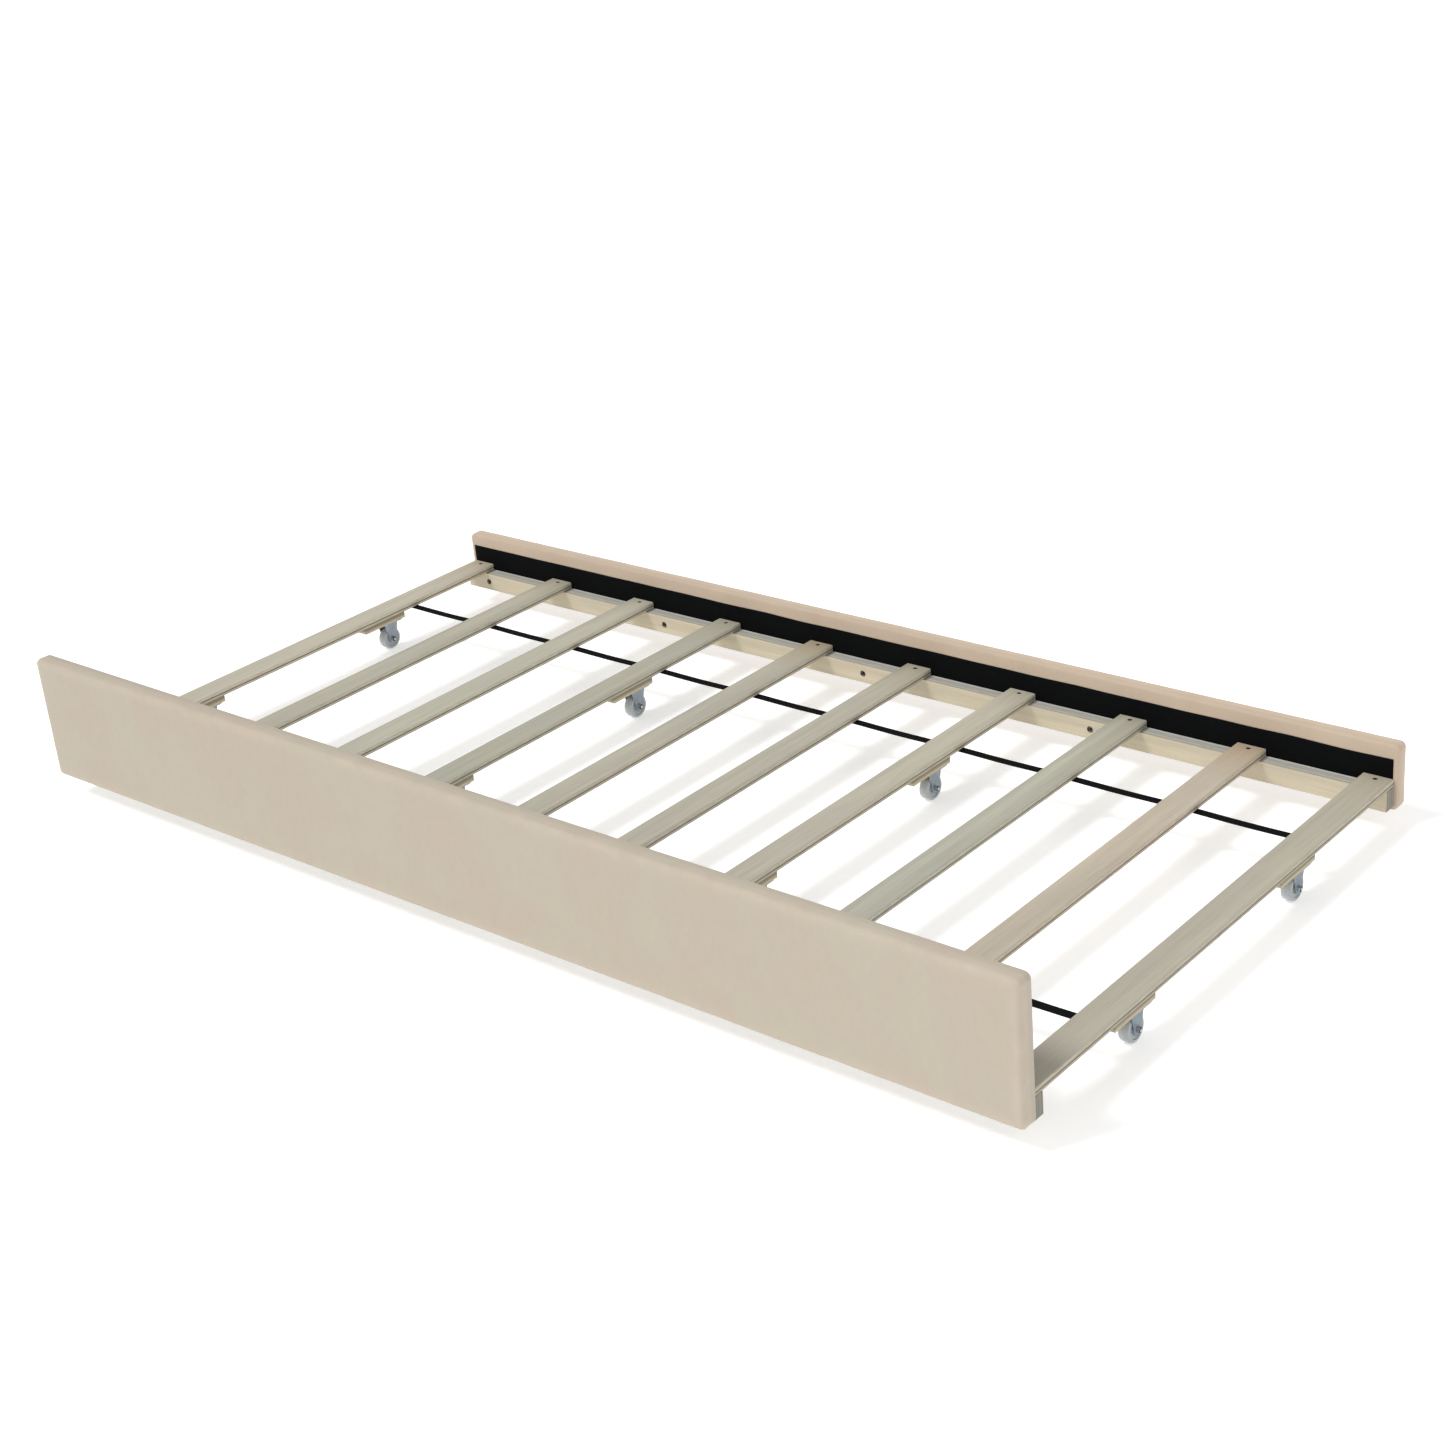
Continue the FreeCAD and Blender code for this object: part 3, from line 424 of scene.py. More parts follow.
def open_foam():
    """Cut foam with small open cells."""
    f = Finish("open_foam", Specular_IOR_Level=0.1)
    cells = f.add("ShaderNodeTexVoronoi", {"Vector": f.place, "Scale": 900.0}).outputs[0]
    base = f.mix(f.span(cells, 0.1, 0.7), (0.55, 0.48, 0.30), (0.84, 0.79, 0.60))
    base = f.mix(f.span(f.noise(14.0), 0.4, 0.7, 0.0, 0.4), base, (0.76, 0.66, 0.40))
    return f.surface(base, f.span(cells, 0.0, 1.0, 0.8, 0.95), f.bump(cells, 0.3 * MM))


# ---- pieces ------------------------------------------------------------------------------------

def middle(node):
    low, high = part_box(node)
    return (low + high) / 2


def object_from(name, bm, material):
    """A mesh object at the origin, from a bmesh in the bed's own frame."""
    mesh = bpy.data.meshes.new(name)
    bm.to_mesh(mesh)
    bm.free()
    mesh.materials.append(material)
    mesh.shade_smooth()
    piece = bpy.data.objects.new(name, mesh)
    bpy.context.scene.collection.objects.link(piece)
    return piece


def stand_for(piece, body, slot, *nodes):
    """The piece rides on a body and is shown instead of CAD nodes; its slot is not used."""
    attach(piece, body)
    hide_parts(*nodes)
    return piece


def dress_nodes(names, material):
    """The nodes keep their shape and take a material."""
    for name in names:
        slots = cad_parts[name].data.materials
        slots.clear()
        slots.append(material)


def quads_between(bm, first, second, closed=True):
    """Faces between two rows of as many vertices."""
    count = len(first)
    for index in range(count if closed else count - 1):
        after = (index + 1) % count
        bm.faces.new((first[index], first[after], second[after], second[index]))


def evenly(stops, step):
    """Places through every stop, at most a step apart."""
    places = [stops[0]]
    for low, high in zip(stops, stops[1:]):
        count = max(1, math.ceil((high - low) / step))
        places += [low + (high - low) * index / count for index in range(1, count + 1)]
    return places


def round_edges(piece, width):
    bevel = piece.modifiers.new("Eased edges", "BEVEL")
    bevel.width = width
    bevel.segments = 2
    bevel.limit_method = "ANGLE"
    bevel.angle_limit = math.radians(32)
    bevel.harden_normals = True


# ---- upholstered covers ------------------------------------------------------------------------

class Panel:
    """Measures of one upholstered panel, from its cover's box in the frame."""

    def __init__(self, word, sizes):
        self.side = PANELS[word]
        self.low, self.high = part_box(word + "_cover")
        self.centre = (self.low + self.high) / 2
        self.half_x = (self.high.x - self.low.x) / 2
        self.half_z = (self.high.z - self.low.z) / 2
        self.depth = self.high.y - self.low.y
        self.face_y = self.low.y if self.side < 0 else self.high.y
        self.flat_x = self.half_x - sizes.corner
        self.flat_z = self.half_z - sizes.corner
        window_x = self.half_x - sizes.margin_side
        self.window = (-window_x, window_x, -self.half_z + sizes.margin_side,
                       self.half_z - sizes.margin_top)
        self.across = evenly([-self.flat_x, -window_x, window_x, self.flat_x], sizes.cell)
        self.upward = evenly([-self.flat_z, self.window[2], self.window[3], self.flat_z], sizes.cell)

    def point(self, x, z, depth):
        """A point given from the panel's middle, and by its depth behind the padded face."""
        return Vector((self.centre.x + x, self.face_y - self.side * depth, self.centre.z + z))

    def ring(self, inset, depth, radius, steps=5):
        """A rounded rectangle of points, inset from the panel's outline."""
        points = []
        across, upward = self.across[1:-1], self.upward[1:-1]
        turn = radius - inset
        reach_x, reach_z = self.half_x - inset, self.half_z - inset
        sides = [[(x, reach_z) for x in reversed(across)], [(-reach_x, z) for z in reversed(upward)],
                 [(x, -reach_z) for x in across], [(reach_x, z) for z in upward]]
        corners = ((1, 1), (-1, 1), (-1, -1), (1, -1))
        for quarter, ((sign_x, sign_z), side) in enumerate(zip(corners, sides)):
            for step in range(steps + 1):
                angle = math.pi / 2 * (quarter + step / steps)
                points.append((sign_x * self.flat_x + turn * math.cos(angle),
                               sign_z * self.flat_z + turn * math.sin(angle)))
            points += side
        return [self.point(x, z, depth) for x, z in points]

    def grid(self, bm, depth):
        """A flat grid between the corners' centres."""
        rows = [[bm.verts.new(self.point(x, z, depth)) for x in self.across] for z in self.upward]
        for first, second in zip(rows, rows[1:]):
            quads_between(bm, first, second, closed=False)

    def in_window(self, point):
        x, z = point.x - self.centre.x, point.z - self.centre.z
        left, right, low, high = self.window
        behind = abs(point.y - self.face_y) > self.depth - 0.05 * MM
        return behind and left < x < right and low < z < high


def edge_profile(panel, sizes, face_steps=6, side_steps=3, back_steps=3):
    """Inset and depth of each ring, from the padded face round the edge to the inner face."""
    profile = [(sizes.corner, 0.0)]
    for step in range(face_steps + 1):
        angle = math.pi / 2 * step / face_steps
        profile.append((sizes.face_edge * (1 - math.sin(angle)), sizes.face_edge * (1 - math.cos(angle))))
    straight = panel.depth - sizes.face_edge - sizes.back_edge
    profile += [(0.0, sizes.face_edge + straight * step / side_steps) for step in range(1, side_steps)]
    for step in range(back_steps + 1):
        angle = math.pi / 2 * step / back_steps
        profile.append((sizes.back_edge * (1 - math.cos(angle)),
                        panel.depth - sizes.back_edge * (1 - math.sin(angle))))
    profile.append((sizes.corner, panel.depth))
    return profile


def closed_cover(panel, sizes):
    """The whole outside of a panel as one closed skin."""
    bm = bmesh.new()
    panel.grid(bm, 0.0)
    panel.grid(bm, panel.depth)
    rings = [[bm.verts.new(point) for point in panel.ring(inset, depth, sizes.corner)]
             for inset, depth in edge_profile(panel, sizes)]
    for first, second in zip(rings, rings[1:]):
        quads_between(bm, first, second)
    bmesh.ops.remove_doubles(bm, verts=bm.verts, dist=0.02 * MM)
    bmesh.ops.recalc_face_normals(bm, faces=bm.faces)
    return bm


def swell(piece, panel, cap):
    """Foam pressure pushes the velvet out from the board; its inner face is stapled down."""
    rest = [vertex.co.copy() for vertex in piece.data.vertices]
    outward = [vertex.normal.copy() for vertex in piece.data.vertices]
    held = piece.vertex_groups.new(name="stapled")
    back = [index for index, co in enumerate(rest) if abs(co.y - panel.face_y) > panel.depth - 4 * MM]
    held.add(back, 1.0, "REPLACE")
    cloth = piece.modifiers.new("Velvet over foam", "CLOTH")
    cloth.settings.quality = 4
    cloth.settings.mass = 0.25
    cloth.settings.tension_stiffness = 25
    cloth.settings.compression_stiffness = 25
    cloth.settings.shear_stiffness = 12
    cloth.settings.bending_stiffness = 1.5
    cloth.settings.vertex_group_mass = "stapled"
    cloth.settings.use_pressure = True
    cloth.settings.uniform_pressure_force = 4.0
    cloth.settings.effector_weights.gravity = 0.0
    cloth.collision_settings.use_collision = False
    cloth.point_cache.frame_start = 1
    cloth.point_cache.frame_end = SIM_FRAMES
    for number in range(1, SIM_FRAMES + 1):
        bpy.context.scene.frame_set(number)
    evaluated = piece.evaluated_get(bpy.context.evaluated_depsgraph_get())
    moves = [max(0.0, (vertex.co - start).dot(normal))
             for vertex, start, normal in zip(evaluated.to_mesh().vertices, rest, outward)]
    evaluated.to_mesh_clear()
    piece.modifiers.remove(cloth)
    bpy.context.scene.frame_set(1)
    kept = min(1.0, cap / max(max(moves), 0.01 * MM))
    for vertex, start, normal, move in zip(piece.data.vertices, rest, outward, moves):
        vertex.co = start + normal * move * kept


def ripple(piece, panel, sizes):
    """Small waves along the pulled edges, pleats at the corners, and the edge attribute that masks the
    painted highlight on the bevels.
    """
    edge = piece.data.attributes.new("edge", "FLOAT", "POINT")
    for index, vertex in enumerate(piece.data.vertices):
        x, z = vertex.co.x - panel.centre.x, vertex.co.z - panel.centre.z
        depth = abs(vertex.co.y - panel.face_y)
        inset = min(panel.half_x - abs(x), panel.half_z - abs(z))
        front = math.exp(-((inset - sizes.face_edge) / (11 * MM)) ** 2) * math.exp(-depth / (9 * MM))
        edge.data[index].value = min(1.0, math.exp(-(inset / (13 * MM)) ** 2) * (depth < panel.depth / 2))
        wave = noise.noise(Vector((x * 14, z * 14, panel.side * 3.7)))
        small = noise.noise(Vector((x * 55, z * 55, 11 + panel.side)))
        push = sizes.ripple * front * (0.75 * wave + 0.45 * small)
        from_corner = Vector((panel.half_x - abs(x), panel.half_z - abs(z))).length
        pleat = math.exp(-(from_corner / (15 * MM)) ** 2) * min(1.0, depth / sizes.face_edge)
        pleat *= max(0.0, 1 - depth / panel.depth)
        angle = math.atan2(abs(z) - panel.flat_z, abs(x) - panel.flat_x)
        push += 0.8 * sizes.ripple * pleat * math.sin(7 * angle + x)
        vertex.co += vertex.normal * push


def build_cover(word):
    sizes, colours = settings("upholstery"), settings("colours")
    panel = Panel(word, sizes)
    if word == "front":
        material = velvet("front_velvet", colours.velvet_cool, colours.velvet_warm)
    else:
        material = velvet("rear_velvet", lighter(colours.velvet_rose, 0.94), colours.velvet_rose)
    piece = object_from(word + "_velvet", closed_cover(panel, sizes), material)
    swell(piece, panel, sizes.crown)
    ripple(piece, panel, sizes)
    bm = bmesh.new()
    bm.from_mesh(piece.data)
    inside = [face for face in bm.faces if panel.in_window(face.calc_center_median())]
    bmesh.ops.delete(bm, geom=inside, context="FACES")
    bm.to_mesh(piece.data)
    bm.free()
    piece.vertex_groups.clear()
    cloth = piece.modifiers.new("Cloth thickness", "SOLIDIFY")
    cloth.thickness = sizes.cloth
    cloth.offset = -1.0
    stand_for(piece, "frame", "velvet", word + "_cover")


# ---- dust cloth --------------------------------------------------------------------------------

def build_lining(word, material):
    """Black cloth stretched over the inner face, hemmed and slightly uneven at its edges."""
    sizes = settings("upholstery")
    side = PANELS[word]
    low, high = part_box(word + "_lining")
    inner = high.y if side < 0 else low.y
    slat_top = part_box(SLATS[0])[1].z
    columns = evenly([low.x, low.x + sizes.hem, high.x - sizes.hem, high.x], 9 * MM)
    rows = evenly([low.z, low.z + sizes.hem, high.z - sizes.hem, high.z], 4 * MM)
    hem_lift, slack_depth, edge_drift = 0.30 * MM, 0.25 * MM, 1.1 * MM
    pinned_above_slats = 12 * MM
    bm = bmesh.new()
    grid = []
    for z in rows:
        line = []
        for x in columns:
            inset = min(x - low.x, high.x - x, z - low.z, high.z - z)
            hem = 1.0 if inset < sizes.hem * 0.99 else 0.0
            free = min(1.0, max(0.0, (z - slat_top) / pinned_above_slats))
            slack = slack_depth * noise.noise(Vector((x * 9, z * 20, side)))
            lift = free * (hem_lift * hem + slack)
            drift = edge_drift * noise.noise(Vector((x * 11, side * 5, 2))) * (z == rows[-1])
            line.append(bm.verts.new((x, inner - side * max(0.0, lift), z + drift)))
        grid.append(line)
    for first, second in zip(grid, grid[1:]):
        quads_between(bm, first, second, closed=False)
    bmesh.ops.recalc_face_normals(bm, faces=bm.faces)
    bm.faces.ensure_lookup_table()
    if bm.faces[0].normal.y * side > 0:
        bmesh.ops.reverse_faces(bm, faces=bm.faces)
    piece = object_from(word + "_dust_cloth", bm, material)
    cloth = piece.modifiers.new("Cloth thickness", "SOLIDIFY")
    cloth.thickness = sizes.lining
    cloth.offset = -1.0
    stand_for(piece, "frame", "lining", word + "_lining")


# ---- webbing straps ----------------------------------------------------------------------------

def build_strap(word, material):
    """Woven strap with soft edges, pulled up at each slat and hanging a little between them."""
    low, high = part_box(word + "_strap")
    half_width, half_thick = (high.y - low.y) / 2, (high.z - low.z) / 2
    centre = (low + high) / 2
    slats = [middle(name).x for name in SLATS]
    pitch = slats[1] - slats[0]
    sag_depth, sway_depth, sides = 0.9 * MM, 0.4 * MM, 16
    bm = bmesh.new()
    rings = []
    for x in evenly([low.x, high.x], 7 * MM):
        phase = (x - slats[0]) / pitch
        sag = sag_depth * math.sin(math.pi * (phase % 1.0)) ** 2
        sway = sway_depth * noise.noise(Vector((x * 4, PANELS[word], 0)))
        ring = []
        for step in range(sides):
            angle = 2 * math.pi * step / sides
            across = math.copysign(abs(math.cos(angle)) ** 0.25, math.cos(angle))
            upward = math.copysign(abs(math.sin(angle)) ** 0.7, math.sin(angle))
            ring.append(bm.verts.new((x, centre.y + sway + half_width * across,
                                      centre.z - sag + half_thick * upward)))
        rings.append(ring)
    for first, second in zip(rings, rings[1:]):
        quads_between(bm, first, second)
    bm.faces.new(rings[0])
    bm.faces.new(rings[-1])
    bmesh.ops.recalc_face_normals(bm, faces=bm.faces)
    piece = object_from(word + "_webbing", bm, material)
    stand_for(piece, "frame", "webbing", word + "_strap")


# ---- casters -----------------------------------------------------------------------------------

def lathe(profile, centre, steps=72):
    """A closed ring turned about the X axis from along, radius pairs; returns its bmesh."""
    bm = bmesh.new()
    tread = bm.verts.layers.float.new("tread")
    widest = max(radius for _, radius in profile)
    rings = []
    for along, radius in profile:
        ring = []
        for step in range(steps):
            angle = 2 * math.pi * step / steps
            vertex = bm.verts.new(centre + Vector((along, radius * math.cos(angle),
                                                   radius * math.sin(angle))))
            vertex[tread] = 1.0 if radius > widest - 1.0 * MM else 0.0
            ring.append(vertex)
        rings.append(ring)
    for index, ring in enumerate(rings):
        quads_between(bm, ring, rings[(index + 1) % len(rings)])
    bmesh.ops.recalc_face_normals(bm, faces=bm.faces)
    return bm


def arc(centre, radius, start, end, steps):
    """Points of an arc, angles in degrees."""
    return [(centre[0] + radius * math.cos(math.radians(start + (end - start) * step / steps)),
             centre[1] + radius * math.sin(math.radians(start + (end - start) * step / steps)))
            for step in range(steps + 1)]


def wheel_half(half, radius, sizes):
    """Half outline of a wheel on its +X side, from the bore out to the middle of the tread."""
    tread, lip, hub, rim = sizes.tread, sizes.lip, sizes.hub, sizes.rim
    floor = half - sizes.web
    bore = sizes.sleeve + sizes.turning_gap
    points = [(half - lip, bore)] + arc((half - lip, bore + lip), lip, -90, 0, 2)[1:]
    points += arc((half - lip, hub - lip), lip, 0, 90, 3)
    points += arc((floor + lip, hub + lip), lip, 270, 180, 3)
    points += arc((floor + lip, rim - lip), lip, 180, 90, 3)
    points += arc((half - lip, rim + lip), lip, -90, 0, 3)
    points += arc((half - tread, radius - tread), tread, 0, 84, 8)
    points += [(0.45 * MM, radius - 0.16 * MM), (0.2 * MM, radius)]
    return points


def build_wheel(name, material):
    low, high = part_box(name)
    half, radius = (high.x - low.x) / 2, (high.z - low.z) / 2
    right = wheel_half(half, radius, settings("hardware"))
    profile = right + [(-along, away) for along, away in reversed(right)]
    piece = object_from(name.replace("wheel", "roller"), lathe(profile, (low + high) / 2), material)
    piece.data.set_sharp_from_angle(angle=math.radians(50))
    stand_for(piece, name, "wheel_nylon", name)


def build_fork(name, material):
    """The pressed fork with eased edges and a rounded root where each leg leaves the plate."""
    sizes = settings("hardware")
    bm = bmesh.new()
    bm.from_mesh(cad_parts[name].data)
    bmesh.ops.remove_doubles(bm, verts=bm.verts, dist=0.005 * MM)
    bmesh.ops.dissolve_limit(bm, angle_limit=math.radians(1), verts=bm.verts, edges=bm.edges)
    low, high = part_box(name)
    centre = (low + high) / 2
    under = high.z - sizes.sheet
    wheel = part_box(name.replace("fork", "wheel"))
    gap = (wheel[1].x - wheel[0].x) / 2 + sizes.side_gap
    root, reach = sizes.fork_root, sizes.fork_reach
    for side in (-1, 1):
        face = centre.x + side * (gap + sizes.sheet)
        bow = [(face + side * (root - root * math.sin(step * math.pi / 8)),
                under - root + root * math.cos(step * math.pi / 8)) for step in range(5)]
        outline = [(face - side * 0.2 * MM, under + 0.2 * MM)] + [
            (face + side * root, under + 0.2 * MM)] + bow
        ends = [[bm.verts.new((x, centre.y + end * reach, z)) for x, z in outline] for end in (-1, 1)]
        quads_between(bm, *ends)
        for end in ends:
            bm.faces.new(end)
    bmesh.ops.recalc_face_normals(bm, faces=bm.faces)
    piece = object_from(name.replace("fork", "bracket"), bm, material)
    round_edges(piece, 0.35 * MM)
    stand_for(piece, "frame", "zinc_plate", name)


# ---- fasteners grown on points by Geometry Nodes -----------------------------------------------

class Fastener(Graph):
    """A tree that puts one part on every point, turned to the point's facing and about itself."""

    def __init__(self, name, sizes):
        tree = bpy.data.node_groups.new(name, "GeometryNodeTree")
        super().__init__(tree)
        face = tree.interface
        face.new_socket("Geometry", in_out="INPUT", socket_type="NodeSocketGeometry")
        face.new_socket("Geometry", in_out="OUTPUT", socket_type="NodeSocketGeometry")
        self.values = {}
        for label, value in sizes.items():
            item = face.new_socket(label, in_out="INPUT", socket_type="NodeSocketFloat")
            item.subtype = "DISTANCE"
            self.values[item.identifier] = value
        for label, kind in (("Turn", "Float"), ("Seed", "Int"), ("Material", "Material")):
            face.new_socket(label, in_out="INPUT", socket_type="NodeSocket" + kind)
        self.inlet = self.add("NodeGroupInput").outputs
        self.part = None

    def cone(self, low_radius, high_radius, low, high, sides=32):
        """An open band between two radii and two heights."""
        depth = self.minus(high, low)
        band = self.add("GeometryNodeMeshCone", {"Vertices": sides, "Radius Bottom": low_radius,
                                                 "Radius Top": high_radius, "Depth": depth},
                        fill_type="NONE").outputs[0]
        return self.moved(band, self.join(z=low))

    def disc(self, radius, height, sides=32):
        disc = self.add("GeometryNodeMeshCircle", {"Vertices": sides, "Radius": radius},
                        fill_type="NGON").outputs[0]
        return self.moved(disc, self.join(z=height))

    def moved(self, geometry, offset, rotation=(0, 0, 0)):
        return self.add("GeometryNodeTransform", {"Geometry": geometry, "Translation": offset,
                                                  "Rotation": rotation}).outputs[0]

    def stack(self, rings, sides=32):
        """One closed turned part from radius, height pairs, top first; zero radii are points."""
        join = self.add("GeometryNodeJoinGeometry")
        parts = [self.cone(low[0], high[0], low[1], high[1], sides)
                 for high, low in zip(rings, rings[1:])]
        for radius, height in (rings[0], rings[-1]):
            if not (isinstance(radius, float) and radius == 0.0):
                parts.append(self.disc(radius, height, sides))
        for part in parts:
            self.tree.links.new(part, join.inputs[0])
        return self.add("GeometryNodeMergeByDistance", {"Geometry": join.outputs[0],
                                                        "Distance": 0.01 * MM}).outputs[0]

    def carve(self, part, *tools, operation="DIFFERENCE"):
        node = self.add("GeometryNodeMeshBoolean", operation=operation, solver="EXACT")
        self.tree.links.new(part, node.inputs["Mesh 1" if operation == "DIFFERENCE" else "Mesh 2"])
        for tool in tools:
            self.tree.links.new(tool, node.inputs["Mesh 2"])
        return node.outputs[0]

    def block(self, x, y, z, centre):
        cube = self.add("GeometryNodeMeshCube", {"Size": self.join(x, y, z)}).outputs[0]
        return self.moved(cube, centre)

    def prism(self, radius, height, centre, sides=6):
        node = self.add("GeometryNodeMeshCylinder", {"Vertices": sides, "Radius": radius,
                                                     "Depth": height}).outputs[0]
        return self.moved(node, centre)

    def finish(self):
        """Puts the part on the points and closes the tree."""
        facing = self.add("GeometryNodeInputNamedAttribute", {"Name": "facing"},
                          data_type="FLOAT_VECTOR").outputs[0]
        aim = self.add("FunctionNodeAlignRotationToVector", {"Vector": facing}, axis="Z").outputs[0]
        chance = self.add("FunctionNodeRandomValue", data_type="FLOAT")
        live = {socket.name: socket for socket in chance.inputs if socket.enabled}
        self.feed(live["Min"], self.times(self.inlet["Turn"], -1.0))
        self.feed(live["Max"], self.inlet["Turn"])
        self.feed(live["Seed"], self.inlet["Seed"])
        angle = next(socket for socket in chance.outputs if socket.enabled)
        spin = self.add("FunctionNodeAxisAngleToRotation", {"Angle": angle}).outputs[0]
        turned = self.add("FunctionNodeRotateRotation", {"Rotation": aim, "Rotate By": spin},
                          rotation_space="LOCAL").outputs[0]
        placed = self.add("GeometryNodeInstanceOnPoints", {
            "Points": self.inlet["Geometry"], "Instance": self.part, "Rotation": turned}).outputs[0]
        real = self.add("GeometryNodeRealizeInstances", {"Geometry": placed}).outputs[0]
        done = self.add("GeometryNodeSetMaterial", {"Geometry": real,
                                                    "Material": self.inlet["Material"]}).outputs[0]
        self.add("NodeGroupOutput", {"Geometry": done})
        return self.tree


def grow(name, fastener, turn, spots, material, slot, node):
    """Runs a fastener tree on spots of place and facing, and keeps the result as a plain mesh."""
    tree = fastener.finish()
    mesh = bpy.data.meshes.new(name + "_spots")
    mesh.from_pydata([tuple(place) for place, _ in spots], [], [])
    facing = mesh.attributes.new("facing", "FLOAT_VECTOR", "POINT")
    for index, (_, direction) in enumerate(spots):
        facing.data[index].vector = direction
    seedling = bpy.data.objects.new(name + "_spots", mesh)
    bpy.context.scene.collection.objects.link(seedling)
    modifier = seedling.modifiers.new("Fasteners", "NODES")
    modifier.node_group = tree
    inputs = {item.name: item.identifier for item in tree.interface.items_tree
              if item.in_out == "INPUT"}
    for identifier, value in fastener.values.items():
        modifier[identifier] = value
    modifier[inputs["Turn"]] = turn
    modifier[inputs["Seed"]] = settings("hardware").seed
    modifier[inputs["Material"]] = material
    graph = bpy.context.evaluated_depsgraph_get()
    made = bpy.data.meshes.new_from_object(seedling.evaluated_get(graph), depsgraph=graph)
    bpy.data.objects.remove(seedling)
    bpy.data.meshes.remove(mesh)
    if not made.polygons:
        raise RuntimeError(name + " came out empty")
    bm = bmesh.new()
    bm.from_mesh(made)
    bmesh.ops.remove_doubles(bm, verts=bm.verts, dist=0.002 * MM)
    bmesh.ops.recalc_face_normals(bm, faces=bm.faces)
    bpy.data.meshes.remove(made)
    piece = object_from(name, bm, material)
    piece.data.set_sharp_from_angle(angle=math.radians(30))
    stand_for(piece, "frame", slot, node)


def flat_screw(name, head, shank, reach, sizes):
    """Countersunk wood screw with a cross recess; its head's top lies at the point."""
    f = Fastener(name, {"Head": head, "Shank": shank, "Length": reach, "Recess": sizes.recess})
    size = f.inlet
    root = f.minus(size["Shank"], size["Head"])
    lip = f.times(size["Head"], -0.09)
    tip = f.times(size["Length"], -1.0)
    neck = f.plus(tip, f.times(size["Shank"], 2.4))
    body = f.stack([(size["Head"], 0.0), (size["Head"], lip), (size["Shank"], root),
                    (size["Shank"], neck), (0.0, tip)])
    f.part = f.carve(body, *cross(f, size["Head"], size["Recess"]))
    return f


def cross(f, head, width, top=0.0):
    """Two crossed bars that cut a cross recess."""
    long_side = f.times(head, 1.15)
    deep = f.times(head, 0.5)
    centre = f.join(z=top)
    return [f.block(long_side, width, f.times(deep, 2.0), centre),
            f.block(width, long_side, f.times(deep, 2.0), centre)]


def round_screw(name, head, shank, reach, sizes):
    """Round-headed sheet screw with a cross recess; the underside of its head lies at the point."""
    f = Fastener(name, {"Head": head, "Shank": shank, "Length": reach, "Recess": sizes.recess})
    size = f.inlet
    tip = f.times(size["Length"], -1.0)
    neck = f.plus(tip, f.times(size["Shank"], 2.4))
    dome = [(f.times(size["Head"], across), f.times(size["Head"], up))
            for across, up in ((0.55, 0.588), (0.78, 0.52), (0.93, 0.37), (1.0, 0.18), (1.0, 0.0))]
    body = f.stack(dome + [(size["Shank"], 0.0), (size["Shank"], neck), (0.0, tip)])
    top = f.times(size["Head"], 0.588)
    f.part = f.carve(body, *cross(f, size["Head"], size["Recess"], top))
    return f


def socket_bolt(sizes, head_height, shank_length):
    """Round-headed bolt with a hexagon socket; the underside of its head lies at the point."""
    f = Fastener("rail_bolt", {"Head": sizes.bolt_head, "Height": head_height,
                               "Shank": sizes.bolt_shank, "Length": shank_length,
                               "Socket": sizes.socket})
    size = f.inlet
    crown = f.times(size["Head"], 0.86)
    shoulder = f.minus(size["Height"], f.times(size["Head"], 0.14))
    tip = f.times(size["Length"], -1.0)
    bevel = f.plus(tip, f.times(size["Shank"], 0.25))
    body = f.stack([(crown, size["Height"]), (size["Head"], shoulder), (size["Head"], 0.0),
                    (size["Shank"], 0.0), (size["Shank"], bevel),
                    (f.times(size["Shank"], 0.75), tip)], sides=48)
    socket = f.prism(size["Socket"], size["Height"], f.join(z=size["Height"]))
    f.part = f.carve(body, socket)
    return f


def ring_part(name, outer, inner, low, high, sides=40):
    """Washer, sleeve or threaded insert: a plain ring between two heights."""
    f = Fastener(name, {"Outer": outer, "Inner": inner, "Low": low, "High": high})
    size = f.inlet
    body = f.stack([(size["Outer"], size["High"]), (size["Outer"], size["Low"])], sides)
    tall = f.times(f.minus(size["High"], size["Low"]), 1.5)
    half = f.times(f.plus(size["High"], size["Low"]), 0.5)
    f.part = f.carve(body, f.prism(size["Inner"], tall, f.join(z=half), sides))
    return f


def hexagon_part(name, sizes, reach, bar_low=None, bar_high=None):
    """Chamfered hexagon from reach outwards, with the axle bar through it, or bored as a nut."""
    far = abs(reach) + sizes.hexagon_height
    f = Fastener(name, {"Hexagon": sizes.hexagon, "Height": sizes.hexagon_height,
                        "Middle": math.copysign((abs(reach) + far) / 2, reach),
                        "Axle": sizes.axle, "Bar low": bar_low or 0.0, "Bar high": bar_high or 0.0})
    size = f.inlet
    centre = f.join(z=size["Middle"])
    prism = f.prism(size["Hexagon"], size["Height"], centre)
    half = f.times(size["Height"], 0.5)
    top, low = f.plus(size["Middle"], half), f.minus(size["Middle"], half)
    slope = f.times(size["Height"], 0.18)
    wide = f.times(size["Hexagon"], 1.01)
    narrow = f.times(size["Hexagon"], 0.88)
    drum = f.stack([(narrow, top), (wide, f.minus(top, slope)),
                    (wide, f.plus(low, slope)), (narrow, low)], 48)
    body = f.carve(prism, drum, operation="INTERSECT")
    if bar_low is None:
        f.part = f.carve(body, f.prism(size["Axle"], f.times(size["Height"], 2.0), centre, 32))
        return f
    blunt = f.times(size["Axle"], 0.8)
    bar = f.stack([(blunt, size["Bar high"]),
                   (size["Axle"], f.minus(size["Bar high"], f.times(blunt, 0.3))),
                   (size["Axle"], size["Bar low"])], 32)
    join = f.add("GeometryNodeJoinGeometry")
    for part in (body, bar):
        f.tree.links.new(part, join.inputs[0])
    f.part = join.outputs[0]
    return f


